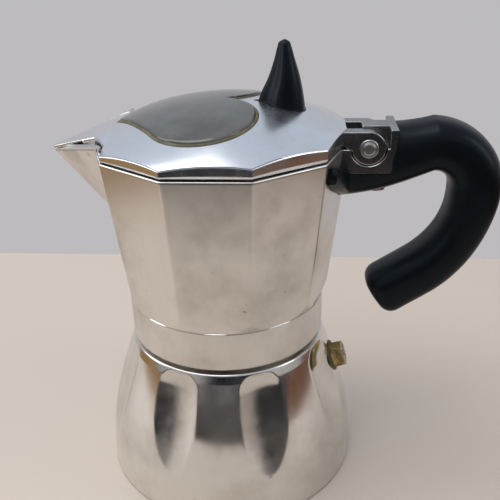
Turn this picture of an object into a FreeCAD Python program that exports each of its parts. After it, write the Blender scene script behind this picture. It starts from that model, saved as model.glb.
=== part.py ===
"""Stove-top coffee pot, in millimetres: +Z up, origin at the middle of the flat base.

The handle points along +X and the pouring spout along -X. A fluted boiler carries a ten-sided
collector on its screwed neck; the collector carries the handle and the hinged lid.
"""
import FreeCAD, Part
import math
import os

V = FreeCAD.Vector
ORIGIN = V(0, 0, 0)
UP = V(0, 0, 1)
FAR = 200.0

# Boiler: a bell with eight shallow flutes, a bevel and a screwed neck
BASE_R = 44.7
BASE_EDGE = 0.4
BELLY_TOP = 33.0
WALL_TOP = 48.0
BEVEL_R = 33.3
BEVEL_W = 1.189
BEVEL_TOP = 50.9
NECK_R = 29.6
NECK_BORE = 26.2
NECK_TOP = 63.0
BOILER_FLOOR = 3.0
BOILER_WALL = 3.7
BOILER_IN_Z = 12.0
THROAT_WALL = 5.65
THROAT_LOW_Z = 46.0
THROAT_Z = 50.5
FLUTES = 8
FLUTE_LOW = 15.0
FLUTE_HIGH = 48.8
FLUTE_SAG = 1.3
FLUTE_CROSS_R = 24.0

# Safety valve, on the land under the handle, square to the wall
VALVE_Z = 39.0
VALVE_TURN = -4.0
SPOT_R = 6.0
SPOT_SINK = 0.5
WASHER_R = 5.4
WASHER_T = 0.8
HEX_FLATS = 8.5
HEX_LEN = 4.0
HEX_CHAMFER = 0.8
SHANK_R = 3.4
SHANK_IN = 6.0
CHAMBER_R = 2.5
CHAMBER_IN = 3.4
SEAT_R = 1.1
CAP_T = 0.9
CAP_R = 2.8
STEM_R = 0.9
STEM_OUT = 0.7
STEM_CLEAR = 0.25
PLUNGER_R = 2.1
PLUNGER_T = 1.2
SPRING_R = 1.6
WIRE_R = 0.25
SPRING_TURNS = 5

# Coffee funnel, which hangs in the neck
FUNNEL_CLEAR = 0.3
SHEET = 0.8
FLANGE_R = 28.8
LEDGE_Z = 46.0
LEDGE_W = 0.8
CONE_Z = 40.0
TUBE_R = 4.5
TUBE_WALL = 0.9
TUBE_END = 6.0
COLLAR_LEN = 5.0
GRID_CLEAR = 0.1
GRID_HOLE = 1.0
GRID_PITCH = 6.4
GRID_RINGS = 3

# Seal and filter plate under the collector
FACE_CLEAR = 0.05
GASKET_T = 3.0
GASKET_R = 29.0
GASKET_BORE = 22.0
FILTER_R = 25.5
FILTER_HOLE = 0.7
FILTER_PITCH = 5.0
FILTER_RINGS = 4

# Collector: ten flat tapering sides above a turned band
SIDES = 10
SKIRT_Z = 52.56
BAND_R = 33.3
BAND_TOP = 66.0
BAND_STEP = 0.35
SHOULDER_RISE = 6.6
SHOULDER_OUT = 3.1
RIM_Z = 118.0
RIM_R = 41.14
THREAD_CLEAR = 0.3
FLOOR_T = 3.8
WALL = 2.6
RECESS_R = 22.5
RECESS_H = 1.5

# Spout: two flat cheeks drawn out to a point
SPOUT_OUT = 13.76
SPOUT_TIP_Z = 115.2
CHEEK_TOP = 122.8
KEEL_Z = 95.0
SPOUT_WALL = 2.2
CHANNEL_RISE = 1.6

# Coffee column in the collector
COLUMN_R = 5.0
COLUMN_TOP_R = 4.0
COLUMN_TOP = 108.0
COLUMN_BORE = 2.4
COLUMN_FLANGE_R = 7.5
COLUMN_FLANGE_T = 1.2
SLOT_W = 2.6
SLOT_H = 4.0
SLOT_DROP = 7.0
PRESS_CLEAR = 0.02

# Lid: a shallow dome, cut by the same ten sides, with a beak over the spout.
# The dome's curve is given as (share of the rim's radius, fall in mm)
LID_GAP = 0.5
LID_WALL = 1.8
DOME_TOP = 131.0
DOME_TILT = 1.7
DOME_CURVE = ((0.0, 0.0), (0.48615, 2.0), (0.80214, 6.1), (0.95041, 8.7), (1.06952, 11.4))
CHEEK_CLEAR = 0.4
BEAK_ROOT_BACK = 5.283
BEAK_ROOT_W = 16.5
BEAK_ROOT_Z = 125.7
BEAK_ROOT_T = 4.2
BEAK_SHORT = 0.6
BEAK_TIP_W = 1.0
BEAK_TIP_Z = 116.6
BEAK_CROWN_R = 70.0
BEAK_PLUG_BACK = 12.9
BEAK_PLUG_H = 2.7
LIP_GAP = 0.3

# Heart-shaped window with a seal round it
LOBE_R = 15.6
LOBE_X = -3.4
LOBE_Y = 14.6
HEART_TIP = -32.0
SEAL_W = 0.9
WINDOW_PROUD = 0.7
WINDOW_T = 2.3
SEAL_PROUD = 0.25
SEAL_T = 2.05

# Lid hinge
PIN_OUT = 5.06
PIN_Z = 117.7
PIN_R = 1.4
PIN_HEAD_R = 2.0
PIN_HEAD_T = 0.4
PIN_CLEAR = 0.06
EAR_R = 5.2
EAR_CLEAR = 0.35
TONGUE_W = 7.0
LUG_W = 17.0
LUG_Z = 109.5
LUG_TOP = 123.6
LUG_OUT = 8.8
LUG_SLANT = 1.4
TONGUE_IN = 2.0
REAR_OUT = 6.3
NOTCH_DEPTH = 1.74
LUG_ROOT = 11.14

# Knob, a horn with a fin towards the spout: (height, reach to the front, to the back, half width),
# and its outline as (share of the length, share of the half width)
KNOB_X = 20.3
KNOB_SECTIONS = ((127.0, 9.1, 6.5, 6.0), (132.0, 7.7, 5.9, 5.4), (138.0, 4.8, 4.9, 4.4),
                 (144.0, 3.0, 2.9, 3.0), (147.8, 2.0, 1.4, 1.7), (149.0, 1.3, 0.7, 1.0))
KNOB_OUTLINE = ((0.22, 0.42), (0.42, 0.96), (0.70, 1.0), (0.94, 0.62))
BOSS_R = 4.5
BOSS_Z = 125.5
SCREW_R = 2.0
SCREW_HEAD_R = 3.6
SCREW_HEAD_T = 2.0
SCREW_REACH = 11.0
SCREW_CLEAR = 0.1

# Handle: an arm, a tight bend, a long back and a straight tail
ARM_ROOT = 5.14
ARM_Z = 111.9
ARM_H = 23.0
BEND_OUT = 25.66
BEND_Z = 103.3
BEND_R = 13.9
BEND_T = 16.4
BACK_R = 37.0
BACK_SWEEP = 56.0
BACK_T = 15.3
TAIL_LEN = 16.0
TAIL_T = 17.0
HANDLE_W = 18.6
ARM_W = 17.6
TAIL_W = 17.0
NOSE_LEN = 4.5
SQUARENESS = 2.7
SADDLE_T = 3.5
SADDLE = ((-7.44, 116.4), (-7.44, 111.3), (-3.54, 105.1), (-0.14, 101.5), (6.86, 101.5),
          (6.86, 112.0), (-0.14, 112.0))
ARM_SHARES = (0.0, 0.2, 0.4, 0.6, 0.8)
BEND_TURNS = (90.0, 67.5, 45.0, 22.5, 0.0)
BACK_SHARES = (0.2, 0.4, 0.6, 0.8, 1.0)
SWELL_FROM = 0.35
NOSE_SHARES = ((1.0, 1.0), (0.62, 0.97), (0.25, 0.86), (0.0, 0.62))
SECTION_POINTS = 12

# Handle screw, from below into the lug
HANDLE_SCREW_OUT = 3.3
HANDLE_SCREW_R = 1.6
HANDLE_SCREW_TOP = 114.5
HANDLE_HEAD_R = 3.2
HANDLE_HEAD_T = 1.8
HANDLE_HEAD_SINK = 5.5

# Sizes that follow from the ones above
HALF_SIDE = math.pi / SIDES
WALL_TOP_R = BEVEL_R + BEVEL_W
SKIRT_IN = NECK_R + THREAD_CLEAR
FUNNEL_TOP = NECK_TOP + SHEET
GASKET_Z = FUNNEL_TOP + FACE_CLEAR
FILTER_Z = GASKET_Z + GASKET_T + FACE_CLEAR
CEILING = FILTER_Z + SHEET + FACE_CLEAR
FLOOR_Z = CEILING + FLOOR_T
FOOT_R = (BAND_R - BAND_STEP) / math.cos(HALF_SIDE)
FLARE = (RIM_R - FOOT_R) / (RIM_Z - BAND_TOP)
LID_Z = RIM_Z + LID_GAP
SPOUT_X = RIM_R * math.cos(2 * HALF_SIDE)
SPOUT_HALF = RIM_R * math.sin(2 * HALF_SIDE)
SPOUT_TIP_X = RIM_R + SPOUT_OUT
BEAK_ROOT_X = SPOUT_X - BEAK_ROOT_BACK
BEAK_TIP_X = SPOUT_TIP_X - BEAK_SHORT
BEAK_PLUG_X = SPOUT_TIP_X - BEAK_PLUG_BACK
PIN_X = RIM_R + PIN_OUT
TONGUE_X = PIN_X - TONGUE_IN
REAR_X = PIN_X + REAR_OUT
LUG_END = PIN_X + LUG_OUT
LUG_ROOT_X = RIM_R - LUG_ROOT
NOTCH_X = RIM_R - NOTCH_DEPTH
ARM_X = RIM_R - ARM_ROOT
BEND_X = RIM_R + BEND_OUT
HANDLE_SCREW_X = PIN_X + HANDLE_SCREW_OUT
EAR_IN = TONGUE_W / 2 + EAR_CLEAR


def wall_lean():
    """Lean of the wall that joins the belly's arc to the bevel, found by halving a range of angles."""
    low, high = 0.0, math.pi / 2
    for _ in range(60):
        lean = (low + high) / 2
        drop = (BELLY_TOP - BASE_EDGE) * math.tan(lean / 2) + (WALL_TOP - BELLY_TOP) * math.tan(lean)
        if drop < BASE_R - WALL_TOP_R:
            low = lean
        else:
            high = lean
    return lean


LEAN = wall_lean()
BELLY_R = (BELLY_TOP - BASE_EDGE) / math.sin(LEAN)
BELLY_TOP_R = BASE_R - BELLY_R * (1 - math.cos(LEAN))


def wall_r(z):
    """Radius of the boiler's lands at height z: a round belly, then a straight lean."""
    if z < BELLY_TOP:
        return BASE_R - BELLY_R + math.sqrt(BELLY_R ** 2 - (z - BASE_EDGE) ** 2)
    return BELLY_TOP_R - (z - BELLY_TOP) * math.tan(LEAN)


def vertex_r(z):
    """Circumradius of the ten-sided body at height z."""
    return FOOT_R + (z - BAND_TOP) * FLARE


def box(x0, x1, y0, y1, z0, z1):
    return Part.makeBox(x1 - x0, y1 - y0, z1 - z0, V(x0, y0, z0))


def rod(r, z0, z1, x=0.0, y=0.0):
    return Part.makeCylinder(r, z1 - z0, V(x, y, z0), UP)


def cross_rod(r, y0, y1, x, z):
    """A round bar along Y."""
    return Part.makeCylinder(r, y1 - y0, V(x, y0, z), V(0, 1, 0))


def one(shape):
    """The single solid of a boolean result, with split faces joined."""
    solids = shape.removeSplitter().Solids
    if len(solids) != 1:
        raise ValueError("expected one solid, found %d" % len(solids))
    solid = solids[0]
    if solid.Volume < 0:
        solid.reverse()
    return solid


def turned(points):
    """A solid turned about Z from a closed outline of (r, z) corners."""
    wire = Part.makePolygon([V(r, 0, z) for r, z in points + points[:1]])
    return Part.Face(wire).revolve(ORIGIN, UP, 360)


def upright(points, y0, y1):
    """A plate between y0 and y1 from a closed outline of (x, z) corners."""
    wire = Part.makePolygon([V(x, y0, z) for x, z in points + points[:1]])
    return Part.Face(wire).extrude(V(0, y1 - y0, 0))


def polyhedron(faces):
    """A solid from flat faces, each a list of corners."""
    made = [Part.Face(Part.makePolygon(f + f[:1])) for f in faces]
    solid = Part.Solid(Part.Shell(made))
    if solid.Volume < 0:
        solid.reverse()
    return solid


def ring(r, z):
    """The ten corners of the body's outline at circumradius r."""
    steps = [2 * HALF_SIDE * k for k in range(SIDES)]
    return [V(r * math.cos(a), r * math.sin(a), z) for a in steps]


def frustum(r0, z0, r1, z1):
    """A ten-sided block that tapers from r0 to r1."""
    low = ring(r0, z0)
    high = ring(r1, z1)
    sides = []
    for k in range(SIDES):
        n = (k + 1) % SIDES
        sides.append([low[k], low[n], high[n], high[k]])
    return polyhedron(sides + [low, high])


def tetrahedron(a, b, c, d):
    return polyhedron([[a, b, c], [a, b, d], [b, c, d], [c, a, d]])


def hole_centres(rings, pitch):
    """A hexagonal pattern of points: a middle one and rings of 6, 12, 18 round it."""
    points = [(0.0, 0.0)]
    for n in range(1, rings):
        for k in range(6 * n):
            a = 2 * math.pi * k / (6 * n)
            points.append((n * pitch * math.cos(a), n * pitch * math.sin(a)))
    return points


def perforated(r, z0, z1, hole, pitch, rings):
    """A flat disc with a pattern of round holes."""
    drills = [rod(hole, z0 - 1, z1 + 1, x, y) for x, y in hole_centres(rings, pitch)]
    return one(rod(r, z0, z1).cut(drills))


def about_wall(shape):
    """Carry a shape made along Z on to the valve's axis, square to the boiler's wall."""
    shape.rotate(ORIGIN, V(0, 1, 0), 90 - math.degrees(LEAN))
    shape.translate(V(wall_r(VALVE_Z), 0, VALVE_Z))
    shape.rotate(ORIGIN, UP, VALVE_TURN)
    return shape


def flute_cutter():
    """A lemon: the arc of a flute's bottom line, turned about an axis outside the wall."""
    low = V(wall_r(FLUTE_LOW), 0, FLUTE_LOW)
    high = V(wall_r(FLUTE_HIGH), 0, FLUTE_HIGH)
    chord = high - low
    long_r = (chord.Length ** 2 / 4 + FLUTE_SAG ** 2) / (2 * FLUTE_SAG)
    half = math.sqrt(long_r ** 2 - (long_r - FLUTE_CROSS_R) ** 2)
    arc = Part.Arc(V(0, 0, -half), V(FLUTE_CROSS_R, 0, 0), V(0, 0, half)).toShape()
    axis = Part.LineSegment(V(0, 0, half), V(0, 0, -half)).toShape()
    lemon = Part.Face(Part.Wire([arc, axis])).revolve(ORIGIN, UP, 360)
    lean = math.atan2(-chord.x, chord.z)
    lemon.rotate(ORIGIN, V(0, 1, 0), -math.degrees(lean))
    out = V(math.cos(lean), 0, math.sin(lean))
    lemon.translate((low + high) * 0.5 + out * (FLUTE_CROSS_R - FLUTE_SAG))
    return lemon


def boiler():
    half = LEAN / 2
    belly = V(BASE_R - BELLY_R * (1 - math.cos(half)), 0, BASE_EDGE + BELLY_R * math.sin(half))
    start = V(BASE_R, 0, BASE_EDGE)
    end = V(BELLY_TOP_R, 0, BELLY_TOP)
    inside = BASE_R - BOILER_WALL
    throat = wall_r(THROAT_LOW_Z) - THROAT_WALL
    corners = [(WALL_TOP_R, WALL_TOP), (BEVEL_R, BEVEL_TOP), (NECK_R, BEVEL_TOP), (NECK_R, NECK_TOP),
               (NECK_BORE, NECK_TOP), (NECK_BORE, THROAT_Z), (throat, THROAT_LOW_Z),
               (inside, BOILER_IN_Z), (inside, BOILER_FLOOR), (0, BOILER_FLOOR), (0, 0),
               (BASE_R - BASE_EDGE, 0)]
    line = Part.makePolygon([end] + [V(r, 0, z) for r, z in corners] + [start])
    wire = Part.Wire([Part.Arc(start, belly, end).toShape()] + line.Edges)
    pot = Part.Face(wire).revolve(ORIGIN, UP, 360)
    cutters = []
    for k in range(FLUTES):
        cutter = flute_cutter()
        cutter.rotate(ORIGIN, UP, 360.0 * (k + 0.5) / FLUTES)
        cutters.append(cutter)
    spot = about_wall(rod(SPOT_R, -SPOT_SINK, FAR))
    bore = about_wall(rod(SHANK_R + PRESS_CLEAR, -SHANK_IN - SHANK_R, FAR))
    return one(pot.cut(cutters).cut([spot, bore]))


def hexagon(flats, z0, z1):
    r = flats / math.sqrt(3)
    steps = [math.radians(60 * k) for k in range(7)]
    corners = [V(r * math.cos(a), r * math.sin(a), z0) for a in steps]
    return Part.Face(Part.makePolygon(corners)).extrude(V(0, 0, z1 - z0))


def valve_body():
    seat = WASHER_T - SPOT_SINK
    end = seat + HEX_LEN
    corner = HEX_FLATS / math.sqrt(3)
    dome = turned([(0, seat), (corner, seat), (corner, end - HEX_CHAMFER / 2),
                   (corner - HEX_CHAMFER, end), (0, end)])
    body = hexagon(HEX_FLATS, seat, end).common(dome).fuse(rod(SHANK_R, -SHANK_IN, seat))
    bores = [rod(CHAMBER_R, -CHAMBER_IN, end), rod(SEAT_R, -FAR, 0),
             rod(CAP_R + PRESS_CLEAR, end - CAP_T, end)]
    return about_wall(one(body.cut(bores)))


def valve_washer():
    return about_wall(rod(WASHER_R, -SPOT_SINK, WASHER_T - SPOT_SINK).cut(
        rod(SHANK_R + PRESS_CLEAR, -FAR, FAR)))


def valve_cap():
    end = WASHER_T - SPOT_SINK + HEX_LEN
    return about_wall(rod(CAP_R, end - CAP_T, end).cut(rod(STEM_R + STEM_CLEAR, -FAR, FAR)))


def valve_plunger():
    end = WASHER_T - SPOT_SINK + HEX_LEN
    low = -CHAMBER_IN + FACE_CLEAR
    return about_wall(one(rod(PLUNGER_R, low, low + PLUNGER_T).fuse(rod(STEM_R, low, end + STEM_OUT))))


def valve_spring():
    """A wire wound between the plunger and the cap, in quarter-turn arcs."""
    low = -CHAMBER_IN + FACE_CLEAR + PLUNGER_T + FACE_CLEAR + WIRE_R
    high = WASHER_T - SPOT_SINK + HEX_LEN - CAP_T - FACE_CLEAR - WIRE_R
    halves = 8 * SPRING_TURNS
    points = []
    for k in range(halves + 1):
        a = 2 * math.pi * SPRING_TURNS * k / halves
        points.append(V(SPRING_R * math.cos(a), SPRING_R * math.sin(a), low + (high - low) * k / halves))
    arcs = [Part.Arc(*points[k:k + 3]).toShape() for k in range(0, halves, 2)]
    ahead = V(0, 2 * math.pi * SPRING_R * SPRING_TURNS, high - low)
    section = Part.Wire(Part.makeCircle(WIRE_R, points[0], ahead))
    return about_wall(one(Part.Wire(arcs).makePipeShell([section], True, False)))


def funnel_basket():
    out = NECK_BORE - FUNNEL_CLEAR
    inside = out - SHEET
    collar = TUBE_R + SHEET
    bore = TUBE_R + PRESS_CLEAR
    return turned([(FLANGE_R, FUNNEL_TOP), (FLANGE_R, NECK_TOP), (out, NECK_TOP), (out, LEDGE_Z - SHEET),
                   (collar, CONE_Z - SHEET), (collar, CONE_Z - COLLAR_LEN), (bore, CONE_Z - COLLAR_LEN),
                   (bore, CONE_Z), (inside - LEDGE_W, LEDGE_Z), (inside, LEDGE_Z), (inside, FUNNEL_TOP)])


def funnel_tube():
    return rod(TUBE_R, TUBE_END, CONE_Z).cut(rod(TUBE_R - TUBE_WALL, 0, FAR))


def funnel_grid():
    r = NECK_BORE - FUNNEL_CLEAR - SHEET - GRID_CLEAR
    return perforated(r, LEDGE_Z, LEDGE_Z + SHEET, GRID_HOLE, GRID_PITCH, GRID_RINGS)


def gasket():
    return rod(GASKET_R, GASKET_Z, GASKET_Z + GASKET_T).cut(rod(GASKET_BORE, 0, FAR))


def filter_plate():
    return perforated(FILTER_R, FILTER_Z, FILTER_Z + SHEET, FILTER_HOLE, FILTER_PITCH, FILTER_RINGS)


def spout_corners():
    """Rear corners, tip and foot of the keel of the spout's outer form."""
    near = V(-SPOUT_X, -SPOUT_HALF, CHEEK_TOP)
    far = V(-SPOUT_X, SPOUT_HALF, CHEEK_TOP)
    tip = V(-SPOUT_TIP_X, 0, SPOUT_TIP_Z)
    keel = V(-vertex_r(KEEL_Z), 0, KEEL_Z)
    return near, far, tip, keel


def spout_channel():
    """The spout's form moved in by its wall and drawn up past the cheeks, open to the top."""
    near, far, tip, keel = spout_corners()
    normal = (tip - near).cross(keel - near)
    shift = V(SPOUT_WALL * normal.Length / abs(normal.x), 0, 0)
    foot = keel + shift
    near, far, tip = [foot + (p - keel) * CHANNEL_RISE for p in (near, far, tip)]
    return tetrahedron(near, far, tip, foot)


def body_form():
    """Ten flat sides above a turned band, with the turned shoulder that joins them."""
    sides = frustum(FOOT_R, BAND_TOP, RIM_R, RIM_Z)
    shoulder = turned([(0, BAND_TOP), (BAND_R, BAND_TOP), (BAND_R + SHOULDER_OUT, BAND_TOP + SHOULDER_RISE),
                       (FAR, BAND_TOP + SHOULDER_RISE), (FAR, FAR), (0, FAR)])
    return sides.common(shoulder).fuse(rod(BAND_R, SKIRT_Z, BAND_TOP))


def lug_outline(top):
    """Side view of the hinge lug's full-width block."""
    slant = LUG_SLANT * (top - LUG_Z) / (LUG_TOP - LUG_Z)
    return [(LUG_ROOT_X, LUG_Z), (LUG_END - LUG_SLANT, LUG_Z), (LUG_END - LUG_SLANT + slant, top),
            (LUG_ROOT_X, top)]


def hinge_lug():
    """A block under the lid's ears, a tongue between them and a wall behind them."""
    half = LUG_W / 2
    base = upright(lug_outline(RIM_Z), -half, half)
    full = upright(lug_outline(LUG_TOP), -half, half)
    rear = full.common(box(REAR_X, FAR, -half, half, LUG_Z, LUG_TOP))
    tongue = full.common(box(TONGUE_X, FAR, -TONGUE_W / 2, TONGUE_W / 2, LUG_Z, LUG_TOP))
    pockets = []
    for side in (-1, 1):
        y0, y1 = sorted((side * TONGUE_W / 2, side * half * 2))
        pockets.append(cross_rod(EAR_R + EAR_CLEAR, y0, y1, PIN_X, PIN_Z))
    return base.fuse([rear]).cut(pockets).fuse(tongue)


def collector():
    near, far, tip, keel = spout_corners()
    form = body_form().fuse([tetrahedron(near, far, tip, keel), hinge_lug()])
    inset = WALL / math.cos(HALF_SIDE)
    inside = frustum(vertex_r(FLOOR_Z) - inset, FLOOR_Z, vertex_r(FAR) - inset, FAR)
    cuts = [inside, spout_channel(), rod(SKIRT_IN, 0, CEILING), rod(RECESS_R, 0, CEILING + RECESS_H),
            rod(COLUMN_R + PRESS_CLEAR, 0, FLOOR_Z + 1),
            cross_rod(PIN_R + PRESS_CLEAR, -FAR, FAR, PIN_X, PIN_Z),
            rod(HANDLE_SCREW_R + PRESS_CLEAR, LUG_Z - 1, HANDLE_SCREW_TOP, HANDLE_SCREW_X)]
    return one(form.cut(cuts))


def coffee_column():
    seat = FLOOR_Z + COLUMN_FLANGE_T
    post = turned([(0, CEILING + RECESS_H), (COLUMN_R, CEILING + RECESS_H), (COLUMN_R, FLOOR_Z),
                   (COLUMN_FLANGE_R, FLOOR_Z), (COLUMN_FLANGE_R, seat), (COLUMN_R, seat),
                   (COLUMN_TOP_R, COLUMN_TOP - COLUMN_TOP_R / 2), (COLUMN_TOP_R / 2, COLUMN_TOP),
                   (0, COLUMN_TOP)])
    slot_z = COLUMN_TOP - SLOT_DROP
    bore = rod(COLUMN_BORE, 0, slot_z + SLOT_H)
    slot = box(-COLUMN_R, COLUMN_R, -SLOT_W / 2, SLOT_W / 2, slot_z, slot_z + SLOT_H)
    return one(post.cut([bore, slot]))


def dome(drop):
    """Everything under the lid's crown lowered by drop: a turned curve, higher towards the hinge."""
    crown = [V(share * RIM_R, 0, -fall) for share, fall in DOME_CURVE]
    curve = Part.BSplineCurve()
    curve.interpolate(Points=crown, InitialTangent=V(1, 0, 0), FinalTangent=crown[-1] - crown[-2])
    edge = crown[-1]
    foot = Part.makePolygon([edge, V(edge.x, 0, -DOME_TOP), V(0, 0, -DOME_TOP), crown[0]])
    solid = Part.Face(Part.Wire([curve.toShape()] + foot.Edges)).revolve(ORIGIN, UP, 360)
    solid.rotate(ORIGIN, V(0, 1, 0), -DOME_TILT)
    solid.translate(V(0, 0, DOME_TOP - drop))
    return solid


def lid_block(drop, front):
    """The space under the lid's crown: ten upright sides, cut off flat behind the spout."""
    r = RIM_R - drop / math.cos(HALF_SIDE)
    block = frustum(r, LID_Z, r, DOME_TOP).common(dome(drop))
    return block.common(box(-front, FAR, -FAR, FAR, 0, FAR))


def cheek_z(x):
    """Height of the spout's top edge at x."""
    slope = (CHEEK_TOP - SPOUT_TIP_Z) / (SPOUT_TIP_X - SPOUT_X)
    return SPOUT_TIP_Z + slope * (x + SPOUT_TIP_X)


def beak():
    """A crowned wedge from the lid out over the spout, with a plug that dips between its cheeks."""
    root = V(-BEAK_ROOT_X, 0, BEAK_ROOT_Z)
    tip = V(-BEAK_TIP_X, 0, BEAK_TIP_Z)
    lip = cheek_z(-BEAK_PLUG_X) + LIP_GAP
    side = upright([(-BEAK_ROOT_X, BEAK_ROOT_Z - BEAK_ROOT_T), (-BEAK_PLUG_X, lip - BEAK_PLUG_H),
                    (-BEAK_PLUG_X, lip), (-BEAK_TIP_X, cheek_z(-BEAK_TIP_X) + LIP_GAP),
                    (-BEAK_TIP_X, DOME_TOP), (-BEAK_ROOT_X, DOME_TOP)], -BEAK_ROOT_W, BEAK_ROOT_W)
    plan = Part.makePolygon([V(-BEAK_ROOT_X, -BEAK_ROOT_W, 0), V(-BEAK_TIP_X, -BEAK_TIP_W, 0),
                             V(-BEAK_TIP_X, BEAK_TIP_W, 0), V(-BEAK_ROOT_X, BEAK_ROOT_W, 0),
                             V(-BEAK_ROOT_X, -BEAK_ROOT_W, 0)])
    along = (root - tip).normalize()
    below = V(along.z, 0, -along.x) * BEAK_CROWN_R
    crown = Part.makeCylinder(BEAK_CROWN_R, FAR, tip + below - along * (FAR / 2), along)
    return side.common(Part.Face(plan).extrude(V(0, 0, FAR))).common(crown)


def heart(offset, z0, z1):
    """A heart-shaped prism: two round lobes and two straight lines from them to the point."""
    r = LOBE_R + offset
    reach = LOBE_X - HEART_TIP
    half_angle = math.atan2(LOBE_Y, reach) + math.asin(LOBE_R / math.hypot(reach, LOBE_Y))
    tip_x = HEART_TIP - offset / math.sin(half_angle)
    run = math.sqrt((LOBE_X - tip_x) ** 2 + LOBE_Y ** 2 - r ** 2)
    notch = V(LOBE_X + math.sqrt(r ** 2 - LOBE_Y ** 2), 0, z0)
    tip = V(tip_x, 0, z0)
    edges = []
    for side in (-1, 1):
        touch = tip + V(math.cos(half_angle), side * math.sin(half_angle), 0) * run
        crown = V(LOBE_X + r * math.sqrt(0.5), side * (LOBE_Y + r * math.sqrt(0.5)), z0)
        edges.append([Part.LineSegment(tip, touch).toShape(), Part.Arc(touch, crown, notch).toShape()])
    near, far = edges
    return Part.Face(Part.Wire(near + far[::-1])).extrude(V(0, 0, z1 - z0))


def lid_ears():
    """Two round-ended plates that hold the hinge pin."""
    ears = []
    for side in (-1, 1):
        y0, y1 = sorted((side * EAR_IN, side * LUG_W / 2))
        ears.append(box(LUG_ROOT_X, PIN_X, y0, y1, LID_Z, PIN_Z + EAR_R))
        ears.append(cross_rod(EAR_R, y0, y1, PIN_X, PIN_Z))
    return ears


def lid():
    front = SPOUT_X - CHEEK_CLEAR
    inside = lid_block(LID_WALL, front - LID_WALL).common(box(-FAR, NOTCH_X - LID_WALL, -FAR, FAR, 0, FAR))
    shell = lid_block(0, front).fuse([beak()] + lid_ears()).cut(inside)
    boss = rod(BOSS_R, BOSS_Z, FAR, KNOB_X).common(dome(LID_WALL / 2))
    cuts = [box(NOTCH_X, FAR, -EAR_IN, EAR_IN, 0, FAR), heart(SEAL_W, LID_Z - 1, FAR),
            cross_rod(PIN_R + PIN_CLEAR, -FAR, FAR, PIN_X, PIN_Z),
            rod(SCREW_R + SCREW_CLEAR, 0, FAR, KNOB_X)]
    return one(shell.fuse(boss).cut(cuts))


def dome_layer(proud, thick):
    """A curved layer that follows the lid's dome."""
    return dome(-proud).cut(dome(thick - proud))


def lid_window():
    return one(heart(0, LID_Z, FAR).common(dome_layer(WINDOW_PROUD, WINDOW_T)))


def window_seal():
    rim = heart(SEAL_W - PRESS_CLEAR, LID_Z, FAR).cut(heart(PRESS_CLEAR, LID_Z - 1, FAR + 1))
    return one(rim.common(dome_layer(SEAL_PROUD, SEAL_T)))


def knob_section(z, front, back, half):
    """A drop-shaped outline: a thin fin towards the spout and a round body behind it."""
    span = front + back
    side = [(along * span - front, across * half) for along, across in KNOB_OUTLINE]
    outline = [(-front, 0.0)] + [(x, -y) for x, y in side] + [(back, 0.0)] + side[::-1]
    curve = Part.BSplineCurve()
    curve.interpolate(Points=[V(KNOB_X + x, y, z) for x, y in outline], PeriodicFlag=True)
    return Part.Wire(curve.toShape())


def lid_knob():
    horn = Part.makeLoft([knob_section(*row) for row in KNOB_SECTIONS], True, False)
    return one(horn.cut([dome(0), rod(SCREW_R + PRESS_CLEAR, 0, BOSS_Z + SCREW_REACH + FACE_CLEAR, KNOB_X)]))


def knob_screw():
    shank = rod(SCREW_R, BOSS_Z, BOSS_Z + SCREW_REACH, KNOB_X)
    return one(shank.fuse(rod(SCREW_HEAD_R, BOSS_Z - SCREW_HEAD_T, BOSS_Z, KNOB_X)))


def hinge_pin():
    half = LUG_W / 2
    heads = []
    for side in (-1, 1):
        y0, y1 = sorted((side * (half + FACE_CLEAR), side * (half + FACE_CLEAR + PIN_HEAD_T)))
        heads.append(cross_rod(PIN_HEAD_R, y0, y1, PIN_X, PIN_Z))
    return one(cross_rod(PIN_R, -half - FACE_CLEAR, half + FACE_CLEAR, PIN_X, PIN_Z).fuse(heads))


def handle_stations():
    """Places along the handle: middle point, direction of the outer face, thickness and width."""
    stations = []
    for share in ARM_SHARES:
        x = ARM_X + (BEND_X - ARM_X) * share
        z = ARM_Z + (BEND_Z + BEND_R - ARM_Z) * share ** 2
        stations.append((x, z, 90.0, ARM_H + (BEND_T - ARM_H) * share ** 1.5, ARM_W))
    for turn in BEND_TURNS:
        a = math.radians(turn)
        x = BEND_X + BEND_R * math.cos(a)
        z = BEND_Z + BEND_R * math.sin(a)
        stations.append((x, z, turn, BEND_T, HANDLE_W))
    for share in BACK_SHARES:
        turn = -BACK_SWEEP * share
        a = math.radians(turn)
        x = BEND_X + BEND_R + BACK_R * (math.cos(a) - 1)
        z = BEND_Z + BACK_R * math.sin(a)
        thick = BACK_T + (TAIL_T - BACK_T) * max(share - SWELL_FROM, 0)
        stations.append((x, z, turn, thick, HANDLE_W))
    for left, scale in NOSE_SHARES:
        run = TAIL_LEN - NOSE_LEN * left
        end_x = x + run * math.sin(a)
        end_z = z - run * math.cos(a)
        stations.append((end_x, end_z, turn, TAIL_T * scale, TAIL_W * scale))
    return stations


def handle_section(x, z, turn, thick, width):
    """A soft-cornered oblong, square to the handle's line."""
    out = V(math.cos(math.radians(turn)), 0, math.sin(math.radians(turn)))
    points = []
    for k in range(SECTION_POINTS):
        a = 2 * math.pi * (k + 0.5) / SECTION_POINTS
        c, s = [math.copysign(abs(v) ** (2 / SQUARENESS), v) for v in (math.cos(a), math.sin(a))]
        points.append(V(x, 0, z) + out * (c * thick / 2) + V(0, s * width / 2, 0))
    curve = Part.BSplineCurve()
    curve.interpolate(Points=points, PeriodicFlag=True)
    return Part.Wire(curve.toShape())


def handle_saddle():
    """A skin on the body's sides next to the hinge lug, cut to the handle's spreading root."""
    offset = SADDLE_T / math.cos(HALF_SIDE)
    skin = frustum(FOOT_R + offset, BAND_TOP, RIM_R + offset, RIM_Z)
    return upright([(RIM_R + x, z) for x, z in SADDLE], -RIM_R, RIM_R).common(skin)


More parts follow.
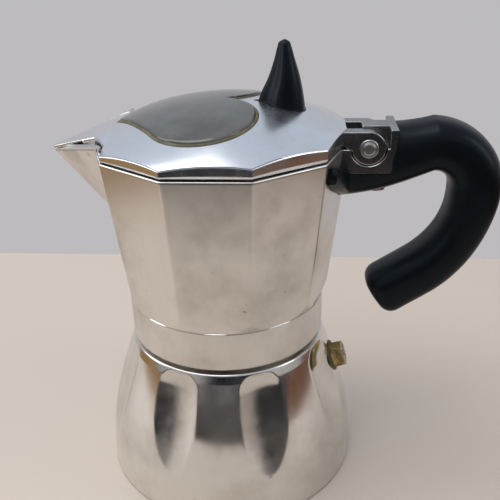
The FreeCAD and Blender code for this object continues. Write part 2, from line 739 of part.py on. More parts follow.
def handle():
    arm = Part.makeLoft([handle_section(*s) for s in handle_stations()], True, False)
    top = RIM_Z + ARM_H
    slope = LUG_SLANT / (LUG_TOP - LUG_Z)
    foot = LUG_END - LUG_SLANT
    relief = upright([(0, LUG_Z), (foot, LUG_Z), (foot + slope * (top - LUG_Z), top), (0, top)],
                     -HANDLE_W, HANDLE_W)
    lug = upright(lug_outline(LUG_TOP), -LUG_W / 2, LUG_W / 2)
    head_z = LUG_Z - HANDLE_HEAD_SINK
    drill = [rod(HANDLE_SCREW_R + SCREW_CLEAR, head_z, LUG_Z, HANDLE_SCREW_X),
             rod(HANDLE_HEAD_R + SCREW_CLEAR, BEND_Z - BEND_R, head_z, HANDLE_SCREW_X)]
    return one(arm.cut(relief).fuse(handle_saddle().cut(lug)).cut([body_form()] + drill))


def handle_screw():
    head_z = LUG_Z - HANDLE_HEAD_SINK
    shank = rod(HANDLE_SCREW_R, head_z, HANDLE_SCREW_TOP, HANDLE_SCREW_X)
    return one(shank.fuse(rod(HANDLE_HEAD_R, head_z - HANDLE_HEAD_T, head_z, HANDLE_SCREW_X)))


NODES = (boiler, valve_body, valve_washer, valve_cap, valve_plunger, valve_spring, funnel_basket, funnel_tube,
         funnel_grid, gasket, filter_plate, collector, coffee_column, lid, lid_window, window_seal, lid_knob,
         knob_screw, hinge_pin, handle, handle_screw)

os.makedirs("parts", exist_ok=True)
for make in NODES:
    shape = make()
    if not shape.isValid():
        raise ValueError("%s is not a valid solid" % make.__name__)
    shape.exportStep("parts/%s.step" % make.__name__)
    span = shape.BoundBox
    print("%-14s %9.1f mm3  x %.1f..%.1f  y %.1f..%.1f  z %.1f..%.1f" % (
        make.__name__, shape.Volume, span.XMin, span.XMax, span.YMin, span.YMax, span.ZMin, span.ZMax))
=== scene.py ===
# %% [markdown]
# A stove-top coffee pot, dressed in Blender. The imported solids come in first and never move: they give
# every place and size. What shows most is then made again as a smooth surface worked out with numpy.

# %% Load the frame
import math

import bmesh
import bpy
import numpy as np
from mathutils import Matrix, Vector


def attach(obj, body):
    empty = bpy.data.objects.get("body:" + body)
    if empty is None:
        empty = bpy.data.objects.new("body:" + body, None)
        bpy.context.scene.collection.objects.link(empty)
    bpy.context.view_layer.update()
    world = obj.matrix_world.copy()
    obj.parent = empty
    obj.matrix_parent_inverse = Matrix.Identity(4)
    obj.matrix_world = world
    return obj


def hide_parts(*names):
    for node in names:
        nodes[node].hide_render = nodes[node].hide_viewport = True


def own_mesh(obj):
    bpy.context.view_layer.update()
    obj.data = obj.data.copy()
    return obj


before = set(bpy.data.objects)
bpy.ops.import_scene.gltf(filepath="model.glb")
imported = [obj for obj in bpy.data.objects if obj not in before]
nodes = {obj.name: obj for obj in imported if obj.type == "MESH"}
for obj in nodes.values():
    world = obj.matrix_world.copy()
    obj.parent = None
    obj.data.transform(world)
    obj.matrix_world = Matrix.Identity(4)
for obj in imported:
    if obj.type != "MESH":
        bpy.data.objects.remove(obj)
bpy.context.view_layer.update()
MM = 0.001
FULL_TURN = 2 * math.pi

# %% [markdown]
# The camera looks down on the pot from the front, a little to the right. It could be aimed by hand, but its
# place was found by matching the ten corners of the rim, so it is written as a distance and a height in
# millimetres and a few small turns in degrees.

# %% Camera
CAMERA_AWAY = 217.0
CAMERA_HEIGHT = 182.65
CAMERA_TURN = 6.85
CAMERA_YAW = -2.23
CAMERA_PITCH = -25.57
CAMERA_ROLL = -1.36
FOCAL_PIXELS = 700.72
IMAGE_PIXELS = 500
SENSOR = 36.0
NEAREST_SEEN = 0.01


def make_camera():
    """Stand the camera on a circle round the pot, aim it by yaw and pitch, then roll it."""
    around = math.radians(CAMERA_TURN - 90)
    heading = around + math.pi + math.radians(CAMERA_YAW)
    pitch, roll = math.radians(CAMERA_PITCH), math.radians(CAMERA_ROLL)
    level = math.cos(pitch)
    ahead = Vector((math.cos(heading) * level, math.sin(heading) * level, math.sin(pitch)))
    right = ahead.cross(Vector((0, 0, 1))).normalized()
    up = right.cross(ahead)
    right, up = right * math.cos(roll) + up * math.sin(roll), up * math.cos(roll) - right * math.sin(roll)
    data = bpy.data.cameras.new("camera")
    data.sensor_width = SENSOR
    data.lens = FOCAL_PIXELS * SENSOR / IMAGE_PIXELS
    data.clip_start = NEAREST_SEEN
    camera = bpy.data.objects.new("camera", data)
    place = Vector((CAMERA_AWAY * math.cos(around), CAMERA_AWAY * math.sin(around), CAMERA_HEIGHT)) * MM
    turn = Matrix((right, up, -ahead)).transposed()
    camera.matrix_world = Matrix.Translation(place) @ turn.to_4x4()
    bpy.context.scene.collection.objects.link(camera)
    bpy.context.scene.camera = camera
    print("camera at:", [round(v * 1000, 1) for v in place])


make_camera()

# %% [markdown]
# Shader maths reads best as plain sums. The nodes could be placed one by one, but a small class that wraps a
# socket lets Python's operators add the Math nodes.

# %% Socket values
class Value:
    """A socket's value: an operator on it adds one Math node."""

    def __init__(self, tree, socket):
        self.tree = tree
        self.socket = socket

    def maths(self, operation, first, second):
        """One Math node on two values or numbers."""
        node = self.tree.nodes.new("ShaderNodeMath")
        node.operation = operation
        for socket, given in zip(node.inputs, (first, second)):
            connect(self.tree, socket, given)
        return Value(self.tree, node.outputs[0])

    def __add__(self, other):
        return self.maths("ADD", self, other)

    def __sub__(self, other):
        return self.maths("SUBTRACT", self, other)

    def __rsub__(self, other):
        return self.maths("SUBTRACT", other, self)

    def __mul__(self, other):
        return self.maths("MULTIPLY", self, other)

    __radd__ = __add__
    __rmul__ = __mul__


def connect(tree, socket, given):
    """Link a Value to a socket, or set a plain number or colour on it."""
    if isinstance(given, Value):
        tree.links.new(given.socket, socket)
    else:
        socket.default_value = given


# %% [markdown]
# Every other node comes from one method of a second class, which holds a node tree. A material is such a tree
# with a shader at its end, so a third class adds what materials share: coordinates, noise and bump.

# %% Node trees and materials
MIX_FACTOR, MIX_FIRST, MIX_SECOND, MIX_RESULT = 0, 6, 7, 2


class Nodes:
    """A node tree under construction."""

    def __init__(self, tree):
        self.tree = tree

    def add(self, kind, sockets=None, settings=None, out=0):
        """One node of any kind: settings first, then its sockets."""
        node = self.tree.nodes.new(kind)
        for key, value in (settings or {}).items():
            setattr(node, key, value)
        for key, value in (sockets or {}).items():
            connect(self.tree, node.inputs[key], value)
        return Value(self.tree, node.outputs[out])

    def step(self, value, low, high):
        """0 below low, 1 above high, smooth between."""
        sockets = {"Value": value, "From Min": low, "From Max": high}
        return self.add("ShaderNodeMapRange", sockets, {"interpolation_type": "SMOOTHSTEP"})

    def mix(self, mask, first, second):
        """A colour that goes from first to second with the mask."""
        sockets = {MIX_FACTOR: mask, MIX_FIRST: first, MIX_SECOND: second}
        return self.add("ShaderNodeMix", sockets, {"data_type": "RGBA"}, out=MIX_RESULT)


class Finish(Nodes):
    """A material: numbers sit on the shader itself, patterns are linked to it."""

    def __init__(self, name, **fixed):
        self.material = bpy.data.materials.new(name)
        self.material.use_nodes = True
        super().__init__(self.material.node_tree)
        self.shader = self.tree.nodes["Principled BSDF"]
        for socket, value in fixed.items():
            self.shader.inputs[socket.replace("_", " ")].default_value = value
        self.place = self.add("ShaderNodeTexCoord", out="Object")

    def stretched(self, x, y, z):
        """Object coordinates scaled along each axis, for streaks."""
        return self.add("ShaderNodeMapping", {"Vector": self.place, "Scale": (x, y, z)})

    def noise(self, scale, detail=4.0, rough=0.6, vector=None):
        """Cloudy noise from 0 to 1, finer with a larger scale."""
        sockets = {"Vector": vector or self.place, "Scale": scale, "Detail": detail, "Roughness": rough}
        return self.add("ShaderNodeTexNoise", sockets)

    def feed(self, socket, value):
        """Link a pattern to one of the shader's sockets."""
        connect(self.tree, self.shader.inputs[socket], value)

    def bump(self, height, distance):
        """Raise the surface by a pattern, distance metres from black to white."""
        sockets = {"Height": height, "Distance": distance, "Strength": 1.0}
        self.feed("Normal", self.add("ShaderNodeBump", sockets))


# %% [markdown]
# The castings are bare aluminium after years of use: warm grey, with cloudy stains, a fine grain and dark
# specks in the pores. A picture of metal could be wrapped round them, but noise in Object coordinates has no
# seams and fits every piece. The boiler is smoother than the vessel above it, the lid is the brightest, and the
# hinge's much darker grey is painted dark reflection.

# %% Aluminium
STAIN_SCALE, MARK_SCALE, SPECK_SCALE, GRAIN_SCALE = 42.0, 95.0, 420.0, 1500.0
STREAK_STRETCH = (260, 260, 26)
PORE_COLOUR, MARK_COLOUR = (0.13, 0.11, 0.09, 1), (0.26, 0.22, 0.17, 1)


def aluminium(name, clean, stained, rough, grain, specks):
    """Bare metal: stains tint it and dull it, specks darken its pores, a fine grain breaks its gloss."""
    metal = Finish(name, Metallic=1.0, IOR=1.45)
    cloud = metal.step(metal.noise(STAIN_SCALE, 6.0, 0.62), 0.42, 0.72)
    streak = metal.noise(1.0, 5.0, 0.6, metal.stretched(*STREAK_STRETCH))
    pores = metal.step(metal.noise(SPECK_SCALE, 3.0, 0.7), 0.70, 0.78) * specks
    marks = metal.step(metal.noise(MARK_SCALE, 4.0, 0.75), 0.66, 0.76) * (specks * 0.6)
    tone = metal.mix(cloud * 0.75 + streak * 0.22, clean, stained)
    tone = metal.mix(pores, tone, PORE_COLOUR)
    metal.feed("Base Color", metal.mix(marks, tone, MARK_COLOUR))
    metal.feed("Roughness", rough + cloud * 0.12 + streak * 0.08 + pores * 0.2)
    height = metal.noise(GRAIN_SCALE, 2.0) * 0.4 + streak * 0.6 - pores
    metal.bump(height, grain)
    print("finish:", name)
    return metal.material


vessel_metal = aluminium("vessel_metal", clean=(0.76, 0.735, 0.70, 1), stained=(0.55, 0.515, 0.47, 1),
                         rough=0.25, grain=0.000035, specks=0.9)
boiler_metal = aluminium("boiler_metal", clean=(0.78, 0.765, 0.74, 1), stained=(0.60, 0.57, 0.53, 1),
                         rough=0.085, grain=0.000012, specks=0.7)
lid_metal = aluminium("lid_metal", clean=(0.85, 0.88, 0.93, 1), stained=(0.70, 0.715, 0.74, 1),
                      rough=0.15, grain=0.000015, specks=0.5)
# The hinge is the same aluminium made far darker: painted dark reflection of the room in front of it.
painted_dark_hinge_metal = aluminium("painted_dark_hinge_metal", clean=(0.40, 0.40, 0.405, 1), stained=(0.26, 0.255, 0.25, 1),
                        rough=0.17, grain=0.00002, specks=0.5)
inner_metal = aluminium("inner_metal", clean=(0.78, 0.765, 0.74, 1), stained=(0.62, 0.60, 0.56, 1),
                        rough=0.34, grain=0.00003, specks=0.3)

# %% [markdown]
# The handle and knob are one black moulded plastic with a soft sheen. Plain black would look like a hole, so
# the gloss varies where handling has polished it, and a very fine orange-peel breaks the highlights.

# %% Black plastic
PLASTIC_BLACK, PLASTIC_DUST = (0.0035, 0.0046, 0.0065, 1), (0.02, 0.022, 0.026, 1)
# A painted bluish highlight: the plastic's reflections are tinted blue.
PAINTED_BLUE_HIGHLIGHT = (0.75, 0.88, 1.0, 1)


def black_plastic():
    """Near black, its highlights tinted a painted blue: worn patches vary its gloss, and specks of dust lift
    its colour.
    """
    moulded = Finish("black_plastic", IOR=1.45, Specular_IOR_Level=0.2, Specular_Tint=PAINTED_BLUE_HIGHLIGHT)
    worn = moulded.step(moulded.noise(60.0, 5.0), 0.40, 0.70)
    dust = moulded.step(moulded.noise(900.0, 2.0), 0.66, 0.80)
    moulded.feed("Base Color", moulded.mix(dust * 0.35, PLASTIC_BLACK, PLASTIC_DUST))
    moulded.feed("Roughness", 0.30 + worn * 0.12)
    moulded.bump(moulded.noise(1100.0, 2.0), 0.00002)
    print("finish: black_plastic")
    return moulded.material


plastic = black_plastic()

# %% [markdown]
# The valve is tarnished brass, the pins and screws are steel with a breath of rust, and the seals are rubber
# that wear has paled in places. All of them are two colours in patches, so one function makes them.

# %% Brass, steel and rubber
def patchy(name, colours, patches, rough, grain, **fixed):
    """Patches of noise, with a scale and two limits, turn the first colour into the second and dull it."""
    finish = Finish(name, **fixed)
    scale, low, high = patches
    worn = finish.step(finish.noise(scale, 5.0), low, high)
    finish.feed("Base Color", finish.mix(worn, *colours))
    finish.feed("Roughness", rough[0] + worn * rough[1])
    grain_scale, detail, height = grain
    finish.bump(finish.noise(grain_scale, detail), height)
    print("finish:", name)
    return finish.material


def seal_rubber(name, *colours):
    """Soft rubber in its own two colours."""
    return patchy(name, colours, (240.0, 0.40, 0.70), (0.55, 0.2), (1300.0, 3.0, 0.00004), IOR=1.45)


brass = patchy("valve_brass", ((0.42, 0.32, 0.14, 1), (0.15, 0.11, 0.045, 1)), patches=(330.0, 0.35, 0.68),
               rough=(0.24, 0.25), grain=(1400.0, 3.0, 0.00003), Metallic=1.0)
steel = patchy("plain_steel", ((0.60, 0.59, 0.58, 1), (0.30, 0.25, 0.20, 1)), patches=(500.0, 0.52, 0.75),
               rough=(0.28, 0.3), grain=(1800.0, 2.0, 0.00002), Metallic=1.0)
rubber = seal_rubber("gasket_rubber", (0.58, 0.54, 0.47, 1), (0.42, 0.37, 0.30, 1))
olive_seal = seal_rubber("olive_seal", (0.085, 0.075, 0.040, 1), (0.17, 0.15, 0.085, 1))

# %% [markdown]
# The lid's window is smoky plastic. It could be see-through, but the real one shows only a dim grey and the
# room's reflection, so it is a dark glossy paint with a haze of fine scratches.

# %% Smoky window
SMOKE_DARK, SMOKE_HAZE = (0.070, 0.070, 0.065, 1), (0.125, 0.123, 0.112, 1)
SCRATCH_STRETCH = (900, 70, 70)


def smoky_window():
    """Dark plastic: haze pales and dulls it in clouds, and long thin noise makes its scratches."""
    smoke = Finish("smoky_window", IOR=1.52, Coat_Weight=0.2, Coat_Roughness=0.08)
    haze = smoke.step(smoke.noise(55.0, 5.0), 0.35, 0.75)
    scratch = smoke.step(smoke.noise(1.0, 4.0, 0.7, smoke.stretched(*SCRATCH_STRETCH)), 0.60, 0.74)
    smoke.feed("Base Color", smoke.mix(haze, SMOKE_DARK, SMOKE_HAZE))
    smoke.feed("Roughness", 0.10 + haze * 0.10 + scratch * 0.12)
    smoke.bump(scratch, 0.00001)
    print("finish: smoky_window")
    return smoke.material


window = smoky_window()

# %% [markdown]
# Every new surface is a grid of points, rows by columns, worked out as whole arrays. One function turns a
# grid into a mesh, joins its ends where the shape closes on itself, and says which solids it stands for.

# %% Grid to mesh
MERGE_DISTANCE = 1e-6


def quads(rows, columns, wrap_rows):
    """Corner numbers of each quad of a grid whose points are numbered row by row, each row closed."""
    last_row = rows if wrap_rows else rows - 1
    r, c = np.meshgrid(np.arange(last_row), np.arange(columns), indexing="ij")
    r2, c2 = (r + 1) % rows, (c + 1) % columns
    corners = [r * columns + c, r * columns + c2, r2 * columns + c2, r2 * columns + c]
    return np.stack(corners, -1).reshape(-1, 4)


def fix_normals(mesh):
    """Merge the poles, then point every face outwards, whatever way its grid was numbered."""
    shell = bmesh.new()
    shell.from_mesh(mesh)
    bmesh.ops.remove_doubles(shell, verts=shell.verts, dist=MERGE_DISTANCE)
    bmesh.ops.recalc_face_normals(shell, faces=shell.faces)
    shell.to_mesh(mesh)
    shell.free()


def surface(name, grids, material, body, replaced=(), wrap_rows=False, caps=False, smooth=True):
    """One piece from grids in millimetres, closed round each row, with flat caps where asked."""
    points, faces, start = [], [], 0
    for grid in grids:
        rows, columns = grid.shape[:2]
        faces += (quads(rows, columns, wrap_rows) + start).tolist()
        if caps:
            faces.append(list(range(start, start + columns))[::-1])
            faces.append(list(range(start + (rows - 1) * columns, start + rows * columns)))
        points.append(grid.reshape(-1, 3) * MM)
        start += rows * columns
    mesh = bpy.data.meshes.new(name)
    mesh.from_pydata(np.concatenate(points).tolist(), [], faces)
    mesh.polygons.foreach_set("use_smooth", np.full(len(mesh.polygons), smooth))
    mesh.materials.append(material)
    fix_normals(mesh)
    piece = bpy.data.objects.new(name, mesh)
    bpy.context.scene.collection.objects.link(piece)
    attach(piece, body)
    if replaced:
        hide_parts(*replaced)
    print(name, "faces:", len(mesh.polygons))
    return piece


# %% [markdown]
# A few small formulas come back in every piece: two surfaces that meet in a rounded crease, a smooth curve
# through a handful of values, and an outline carried round the upright axis.

# %% Curves and creases
def soft_min(a, b, width):
    """The smaller of two, with a rounded crease of about that width."""
    return -width * np.logaddexp(-a / width, -b / width)


def soft_max(a, b, width):
    """The larger of two, with the same rounded crease."""
    return -soft_min(-a, -b, width)


def through(knots, values, at):
    """A smooth curve through values at knots: cubic pieces with slopes from the neighbours."""
    knots, values, at = np.asarray(knots, float), np.asarray(values, float), np.asarray(at, float)
    slopes = np.gradient(values, knots, axis=0)
    k = np.clip(np.searchsorted(knots, at) - 1, 0, len(knots) - 2)
    span = knots[k + 1] - knots[k]
    t = (at - knots[k]) / span
    shape = (...,) + (None,) * (values.ndim - 1)
    t, span = t[shape], span[shape]
    low = (1 + 2 * t) * (1 - t) ** 2 * values[k] + t * (1 - t) ** 2 * span * slopes[k]
    return low + t * t * (3 - 2 * t) * values[k + 1] + t * t * (t - 1) * span * slopes[k + 1]


def closed_curve(knots, values, at):
    """The same through values that repeat after a full turn."""
    return through(np.concatenate([knots - FULL_TURN, knots, knots + FULL_TURN]), np.tile(values, 3), at)


def turned(radius, height, angles):
    """Points at each radius and height, carried round the upright axis."""
    radius, height, angles = np.broadcast_arrays(radius, height, angles)
    return np.stack([radius * np.cos(angles), radius * np.sin(angles), height], -1)


def turned_outline(outline, angles):
    """Rows of a turned shape from an outline of radius and height."""
    return turned(outline[:, :1], outline[:, 1:], angles)


# %% [markdown]
# The boiler is a turned bell with eight spoon-shaped flutes. Booleans could cut them out, but leave thin and
# uneven faces. So the radius is worked out for every angle and height: the smaller of the bell's own radius
# and that of the scoop, which is round across.

# %% Boiler: wall and flutes
BASE_R, BASE_EDGE, BELLY_TOP, WALL_LEAN = 44.7, 0.4, 33.0, math.radians(18.3)
BELLY_R = (BELLY_TOP - BASE_EDGE) / math.sin(WALL_LEAN)
WALL_TOP, BEVEL_R, BEVEL_TOP = 48.0, 33.3, 50.9
FLUTES, FLUTE_LOW, FLUTE_DEEP, FLUTE_ROUND, FLUTE_HIGH = 8, 15.0, 34.0, 44.0, 50.0
FLUTE_DEPTH, FLUTE_EASE, FLUTE_ROUNDNESS, FLUTE_CREASE = 2.35, 0.22, 13.0, 0.10
OUTSIDE = 90.0


def wall_radius(z):
    """Round belly below, straight lean above."""
    belly = BASE_R - BELLY_R + np.sqrt(BELLY_R ** 2 - (np.minimum(z, BELLY_TOP) - BASE_EDGE) ** 2)
    return belly - np.maximum(z - BELLY_TOP, 0) * math.tan(WALL_LEAN)


def flute_depth(z):
    """Depth down the middle of a flute: it deepens from the tip, holds, and rounds off in the bevel."""
    lower = 1 - (1 - np.clip((z - FLUTE_LOW) / (FLUTE_DEEP - FLUTE_LOW), 0, 1)) ** 2
    upper = 1 - FLUTE_EASE * np.clip((z - FLUTE_DEEP) / (WALL_TOP - FLUTE_DEEP), 0, 1) ** 2
    end = np.sqrt(np.clip(1 - (np.maximum(z - FLUTE_ROUND, 0) / (FLUTE_HIGH - FLUTE_ROUND)) ** 2, 0, 1))
    return FLUTE_DEPTH * np.minimum(lower, upper) * end


def flute_radius(angle, z):
    """Radius of the scoop: a round channel, so it rises with the square of the way from its middle."""
    sector = FULL_TURN / FLUTES
    across = (np.mod(angle, sector) - sector / 2) * wall_radius(z)
    depth = flute_depth(z)
    return np.where(depth > 0, wall_radius(z) - depth + across ** 2 / (2 * FLUTE_ROUNDNESS), OUTSIDE)


# %% Boiler: casting
NECK_R, NECK_BORE, NECK_TOP, NECK_EDGE, NECK_FILLET = 29.6, 26.2, 63.0, 0.4, 0.2
BOILER_COLUMNS, WALL_ROWS, BEVEL_ROWS, ROW_GAP = 480, 92, 9, 0.25
FOOT = np.array([[0.01, 0.6], [30, 0.6], [33, 0.6], [33.6, 0.0], [43.6, 0.0], [44.3, 0.06]])
NECK = np.array([[BEVEL_R - 0.1, BEVEL_TOP - 0.05], [BEVEL_R - 0.4, BEVEL_TOP],
                 [NECK_R + NECK_FILLET, BEVEL_TOP], [NECK_R, BEVEL_TOP + NECK_FILLET],
                 [NECK_R, NECK_TOP - NECK_EDGE], [NECK_R - NECK_EDGE, NECK_TOP],
                 [NECK_BORE + NECK_EDGE, NECK_TOP], [NECK_BORE, NECK_TOP - NECK_EDGE]])
CHAMBER = np.array([[NECK_BORE, 50.5], [29.5, 46.0], [41.0, 12.0], [41.0, 6.0], [40.2, 3.8], [38.0, 3.0],
                    [0.01, 3.0]])


def make_boiler():
    """Foot, wall, bevel, neck and chamber in one skin, with the flutes scooped from wall and bevel."""
    angles = np.linspace(0, FULL_TURN, BOILER_COLUMNS, endpoint=False)[None, :]
    wall_z = np.append(np.linspace(BASE_EDGE, WALL_TOP - ROW_GAP, WALL_ROWS), WALL_TOP - 0.08)[:, None]
    wall = soft_min(wall_radius(wall_z), flute_radius(angles, wall_z), FLUTE_CREASE)
    bevel_z = np.linspace(WALL_TOP + 0.1, BEVEL_TOP - ROW_GAP, BEVEL_ROWS)[:, None]
    cone = BEVEL_R + (wall_radius(WALL_TOP) - BEVEL_R) * (BEVEL_TOP - bevel_z) / (BEVEL_TOP - WALL_TOP)
    bevel = soft_min(cone, flute_radius(angles, bevel_z), FLUTE_CREASE)
    grid = np.concatenate([turned_outline(FOOT, angles), turned(wall, wall_z, angles),
                           turned(bevel, bevel_z, angles), turned_outline(NECK, angles),
                           turned_outline(CHAMBER, angles)])
    surface("boiler_shell", [grid], boiler_metal, "boiler_body", ["boiler"], caps=True)


make_boiler()

# %% [markdown]
# The neck carries a coarse thread, which shows once the top is off. The solid's neck is plain, so a low ridge
# is wound round it: a small round section carried along a helix, fading out at both ends.

# %% Boiler: thread
THREAD_TURNS, THREAD_START, THREAD_PITCH = 2.6, 53.4, 3.0
THREAD_DEPTH, THREAD_HALF, THREAD_FADE, THREAD_ROWS, THREAD_COLUMNS = 0.22, 0.75, 18, 360, 10


def make_thread():
    """The section's radius and height swing round the neck's surface while the angle runs on."""
    t = np.linspace(0, 1, THREAD_ROWS)[:, None]
    angle = FULL_TURN * THREAD_TURNS * t
    fade = np.clip(np.minimum(t, 1 - t) * THREAD_FADE, 0.05, 1)
    around = np.linspace(0, FULL_TURN, THREAD_COLUMNS, endpoint=False)[None, :]
    radius = NECK_R + THREAD_DEPTH * fade * np.cos(around)
    height = THREAD_START + THREAD_TURNS * THREAD_PITCH * t + THREAD_HALF * np.sin(around)
    surface("neck_thread", [turned(radius, height, angle)], boiler_metal, "boiler_body",
            caps=True)


make_thread()

# %% [markdown]
# The upper vessel is a casting with ten flat sides over a turned band. A bevelled prism would do for the sides
# alone, but the band and spout have to run into them, so again the radius is worked out everywhere. Near a
# corner two sides share the outline: a high power mean of all ten gives flat faces with softly rounded creases.

# %% Upper vessel: sides
SIDES, BAND_R, SKIRT_Z, BAND_TOP, BAND_STEP = 10, 33.3, 52.56, 66.0, 0.35
RIM_Z, RIM_R = 118.0, 41.14
HALF = math.pi / SIDES
FOOT_R = (BAND_R - BAND_STEP) / math.cos(HALF)
CREASE_POWER = 260.0


def corner_radius(z):
    """Radius at the corners: a straight line from the foot of the sides to the rim."""
    return FOOT_R + (z - BAND_TOP) * (RIM_R - FOOT_R) / (RIM_Z - BAND_TOP)


def ten_sided(angle):
    """Radius of a ten-sided outline whose sides are one away from the middle."""
    facing = np.cos(angle[..., None] - HALF * (2 * np.arange(SIDES) + 1))
    return np.sum(np.maximum(facing, 0) ** CREASE_POWER, -1) ** (-1 / CREASE_POWER)


def side_angles(per_side):
    """Angles crowded towards the ten corners, where the outline bends."""
    t = np.sin(np.linspace(-0.5, 0.5, per_side, endpoint=False) * math.pi)
    return (HALF * (2 * np.arange(SIDES)[:, None] + 1) + HALF * t[None, :]).reshape(1, -1)


# %% [markdown]
# The spout is two flat cheeks that meet in a keel. Each is a plane through a corner of the rim, the tip and
# the keel's foot. A level ray from the middle of the vessel meets that plane after one division, so the spout
# needs no mesh of its own and joins the sides without a seam.

# %% Upper vessel: spout
TIP = np.array([-54.9, 0.0, 115.2])
CHEEK_TOP, CHEEK_DROP, KEEL_Z, SPOUT_WALL = 122.8, 0.4, 95.0, 2.2
NEAR = np.array([-RIM_R * math.cos(2 * HALF), -RIM_R * math.sin(2 * HALF), CHEEK_TOP])
KEEL = np.array([-corner_radius(KEEL_Z), 0.0, KEEL_Z])
CHEEK = np.cross(TIP - NEAR, KEEL - NEAR)
CHEEK = CHEEK / np.linalg.norm(CHEEK) * -np.sign(CHEEK[1])
SPOUT_SHIFT = SPOUT_WALL / abs(CHEEK[0])
LEAST_REACH, CORNER_SLACK = 0.05, 0.004


def off_spout(angle):
    """Angle away from the spout's own direction, to either side."""
    return np.abs(np.mod(angle, FULL_TURN) - math.pi)


def cheek_height(x):
    """Height of the spout's top edge, a straight line from the rim's corner to the tip."""
    return TIP[2] + (CHEEK_TOP - TIP[2]) * (x - TIP[0]) / (NEAR[0] - TIP[0])


def spout_radius(angle, z, shift):
    """Where a level ray meets the nearer of the two cheeks."""
    level = CHEEK @ (KEEL + np.array([shift, 0, 0]))
    reach = CHEEK[0] * np.cos(angle) + abs(CHEEK[1]) * np.abs(np.sin(angle))
    return np.where(reach > LEAST_REACH, (level - CHEEK[2] * z) / np.maximum(reach, LEAST_REACH), 0.0)


def vessel_top(angle, shift):
    """Height of the wall's top: level at the rim, and the cheeks' straight edge round the spout."""
    away = off_spout(angle)
    lean = -NEAR[1] / (NEAR[0] - TIP[0])
    edge = lean * (-TIP[0] - shift) / (np.sin(away) + lean * np.cos(away))
    straight = np.minimum(cheek_height(-edge * np.cos(away)), CHEEK_TOP - CHEEK_DROP)
    return np.where(away < 2 * HALF - CORNER_SLACK, straight, RIM_Z)


# %% Upper vessel: casting
SHOULDER_RISE, SHOULDER_OUT, SHOULDER_CREASE, SPOUT_CREASE, NEARBY = 6.6, 3.1, 0.05, 0.12, 2
WALL, FLOOR_Z, FLOOR_ROUND, FLOOR_FILLET, COLUMN_HOLE = 2.6, 71.55, 1.5, 1.4, 5.02
SKIRT_IN, SKIRT_EDGE, BAND_EDGE, RIM_EDGE = 29.9, 0.3, 0.12, 0.45
CEILING, RECESS_R, RECESS_H = 67.75, 22.5, 1.5
RECESS_TOP = CEILING + RECESS_H
SIDE_COLUMNS, SHOULDER_ROWS, OUTER_ROWS, INNER_ROWS = 44, 34, 84, 46
BAND_HEIGHTS = np.concatenate([[SKIRT_Z + SKIRT_EDGE], np.linspace(SKIRT_Z + 1, BAND_TOP - 0.35, 9),
                               [BAND_TOP - BAND_EDGE]])
UNDERSIDE = ((COLUMN_HOLE, FLOOR_Z), (COLUMN_HOLE, RECESS_TOP), (RECESS_R, RECESS_TOP), (RECESS_R, CEILING),
             (SKIRT_IN, CEILING), (SKIRT_IN, SKIRT_Z + SKIRT_EDGE), (SKIRT_IN + SKIRT_EDGE, SKIRT_Z))


def vessel_radius(angle, z, inset, shift):
    """Flat sides, or the spout's cheeks where they reach further out."""
    sides = (corner_radius(z) * math.cos(HALF) - inset) * ten_sided(angle)
    away = off_spout(angle)
    cheeks = np.where((away < 2 * HALF) & (z > KEEL_Z - NEARBY), spout_radius(angle, z, shift), 0.0)
    both = np.where(cheeks > sides - NEARBY, soft_max(sides, cheeks, SPOUT_CREASE), sides)
    behind = -NEAR[0] / np.maximum(np.cos(away), 0.5)
    return np.where((away < 2 * HALF) & (z > RIM_Z + 0.1), np.maximum(both, behind), both)


def make_vessel():
    """Rows up the outside from the skirt, over a rounded rim, down the inside and back under the floor."""
    angle = side_angles(SIDE_COLUMNS)
    rows = []

    def row(radius, z):
        rows.append(turned(radius, z, angle)[0])

    row(BAND_R - SKIRT_EDGE, SKIRT_Z)
    for z in BAND_HEIGHTS:
        row(BAND_R, z)
    row(BAND_R - BAND_EDGE, BAND_TOP)
    cone = SHOULDER_OUT / SHOULDER_RISE
    for z in np.linspace(BAND_TOP + 0.02, BAND_TOP + SHOULDER_RISE + 0.8, SHOULDER_ROWS):
        row(soft_min(vessel_radius(angle, z, 0, 0), BAND_R + (z - BAND_TOP) * cone, SHOULDER_CREASE), z)
    start = BAND_TOP + SHOULDER_RISE + 1.2
    top = vessel_top(angle, 0)
    outer = top - RIM_EDGE
    for share in np.linspace(0, 1, OUTER_ROWS):
        z = start + (outer - start) * share
        row(vessel_radius(angle, z, 0, 0), z)
    for turn in np.radians([30, 60, 90]):
        row(vessel_radius(angle, outer, 0, 0) - RIM_EDGE * (1 - math.cos(turn)),
            top - RIM_EDGE * (1 - math.sin(turn)))
    top = vessel_top(angle, SPOUT_SHIFT)
    inner = top - RIM_EDGE
    for turn in np.radians([90, 60, 30, 0]):
        row(vessel_radius(angle, inner, WALL, SPOUT_SHIFT) + RIM_EDGE * (1 - math.cos(turn)),
            top - RIM_EDGE * (1 - math.sin(turn)))
    for share in np.linspace(0.03, 1, INNER_ROWS):
        z = inner + (FLOOR_Z + FLOOR_ROUND - inner) * share
        row(vessel_radius(angle, z, WALL, SPOUT_SHIFT), z)
    row(vessel_radius(angle, FLOOR_Z, WALL, SPOUT_SHIFT) - FLOOR_FILLET, FLOOR_Z)
    for radius, z in UNDERSIDE:
        row(radius, z)
    surface("vessel_casting", [np.stack(rows)], vessel_metal, "collector_body",
            ["collector"], wrap_rows=True)


make_vessel()

# %% [markdown]
# The lid is a shallow dome trimmed by the same ten sides, so each side ends in a scallop, with a beak over the
# spout. Seen from above its height is a function of the place, the dome's or the beak's, whichever is higher.

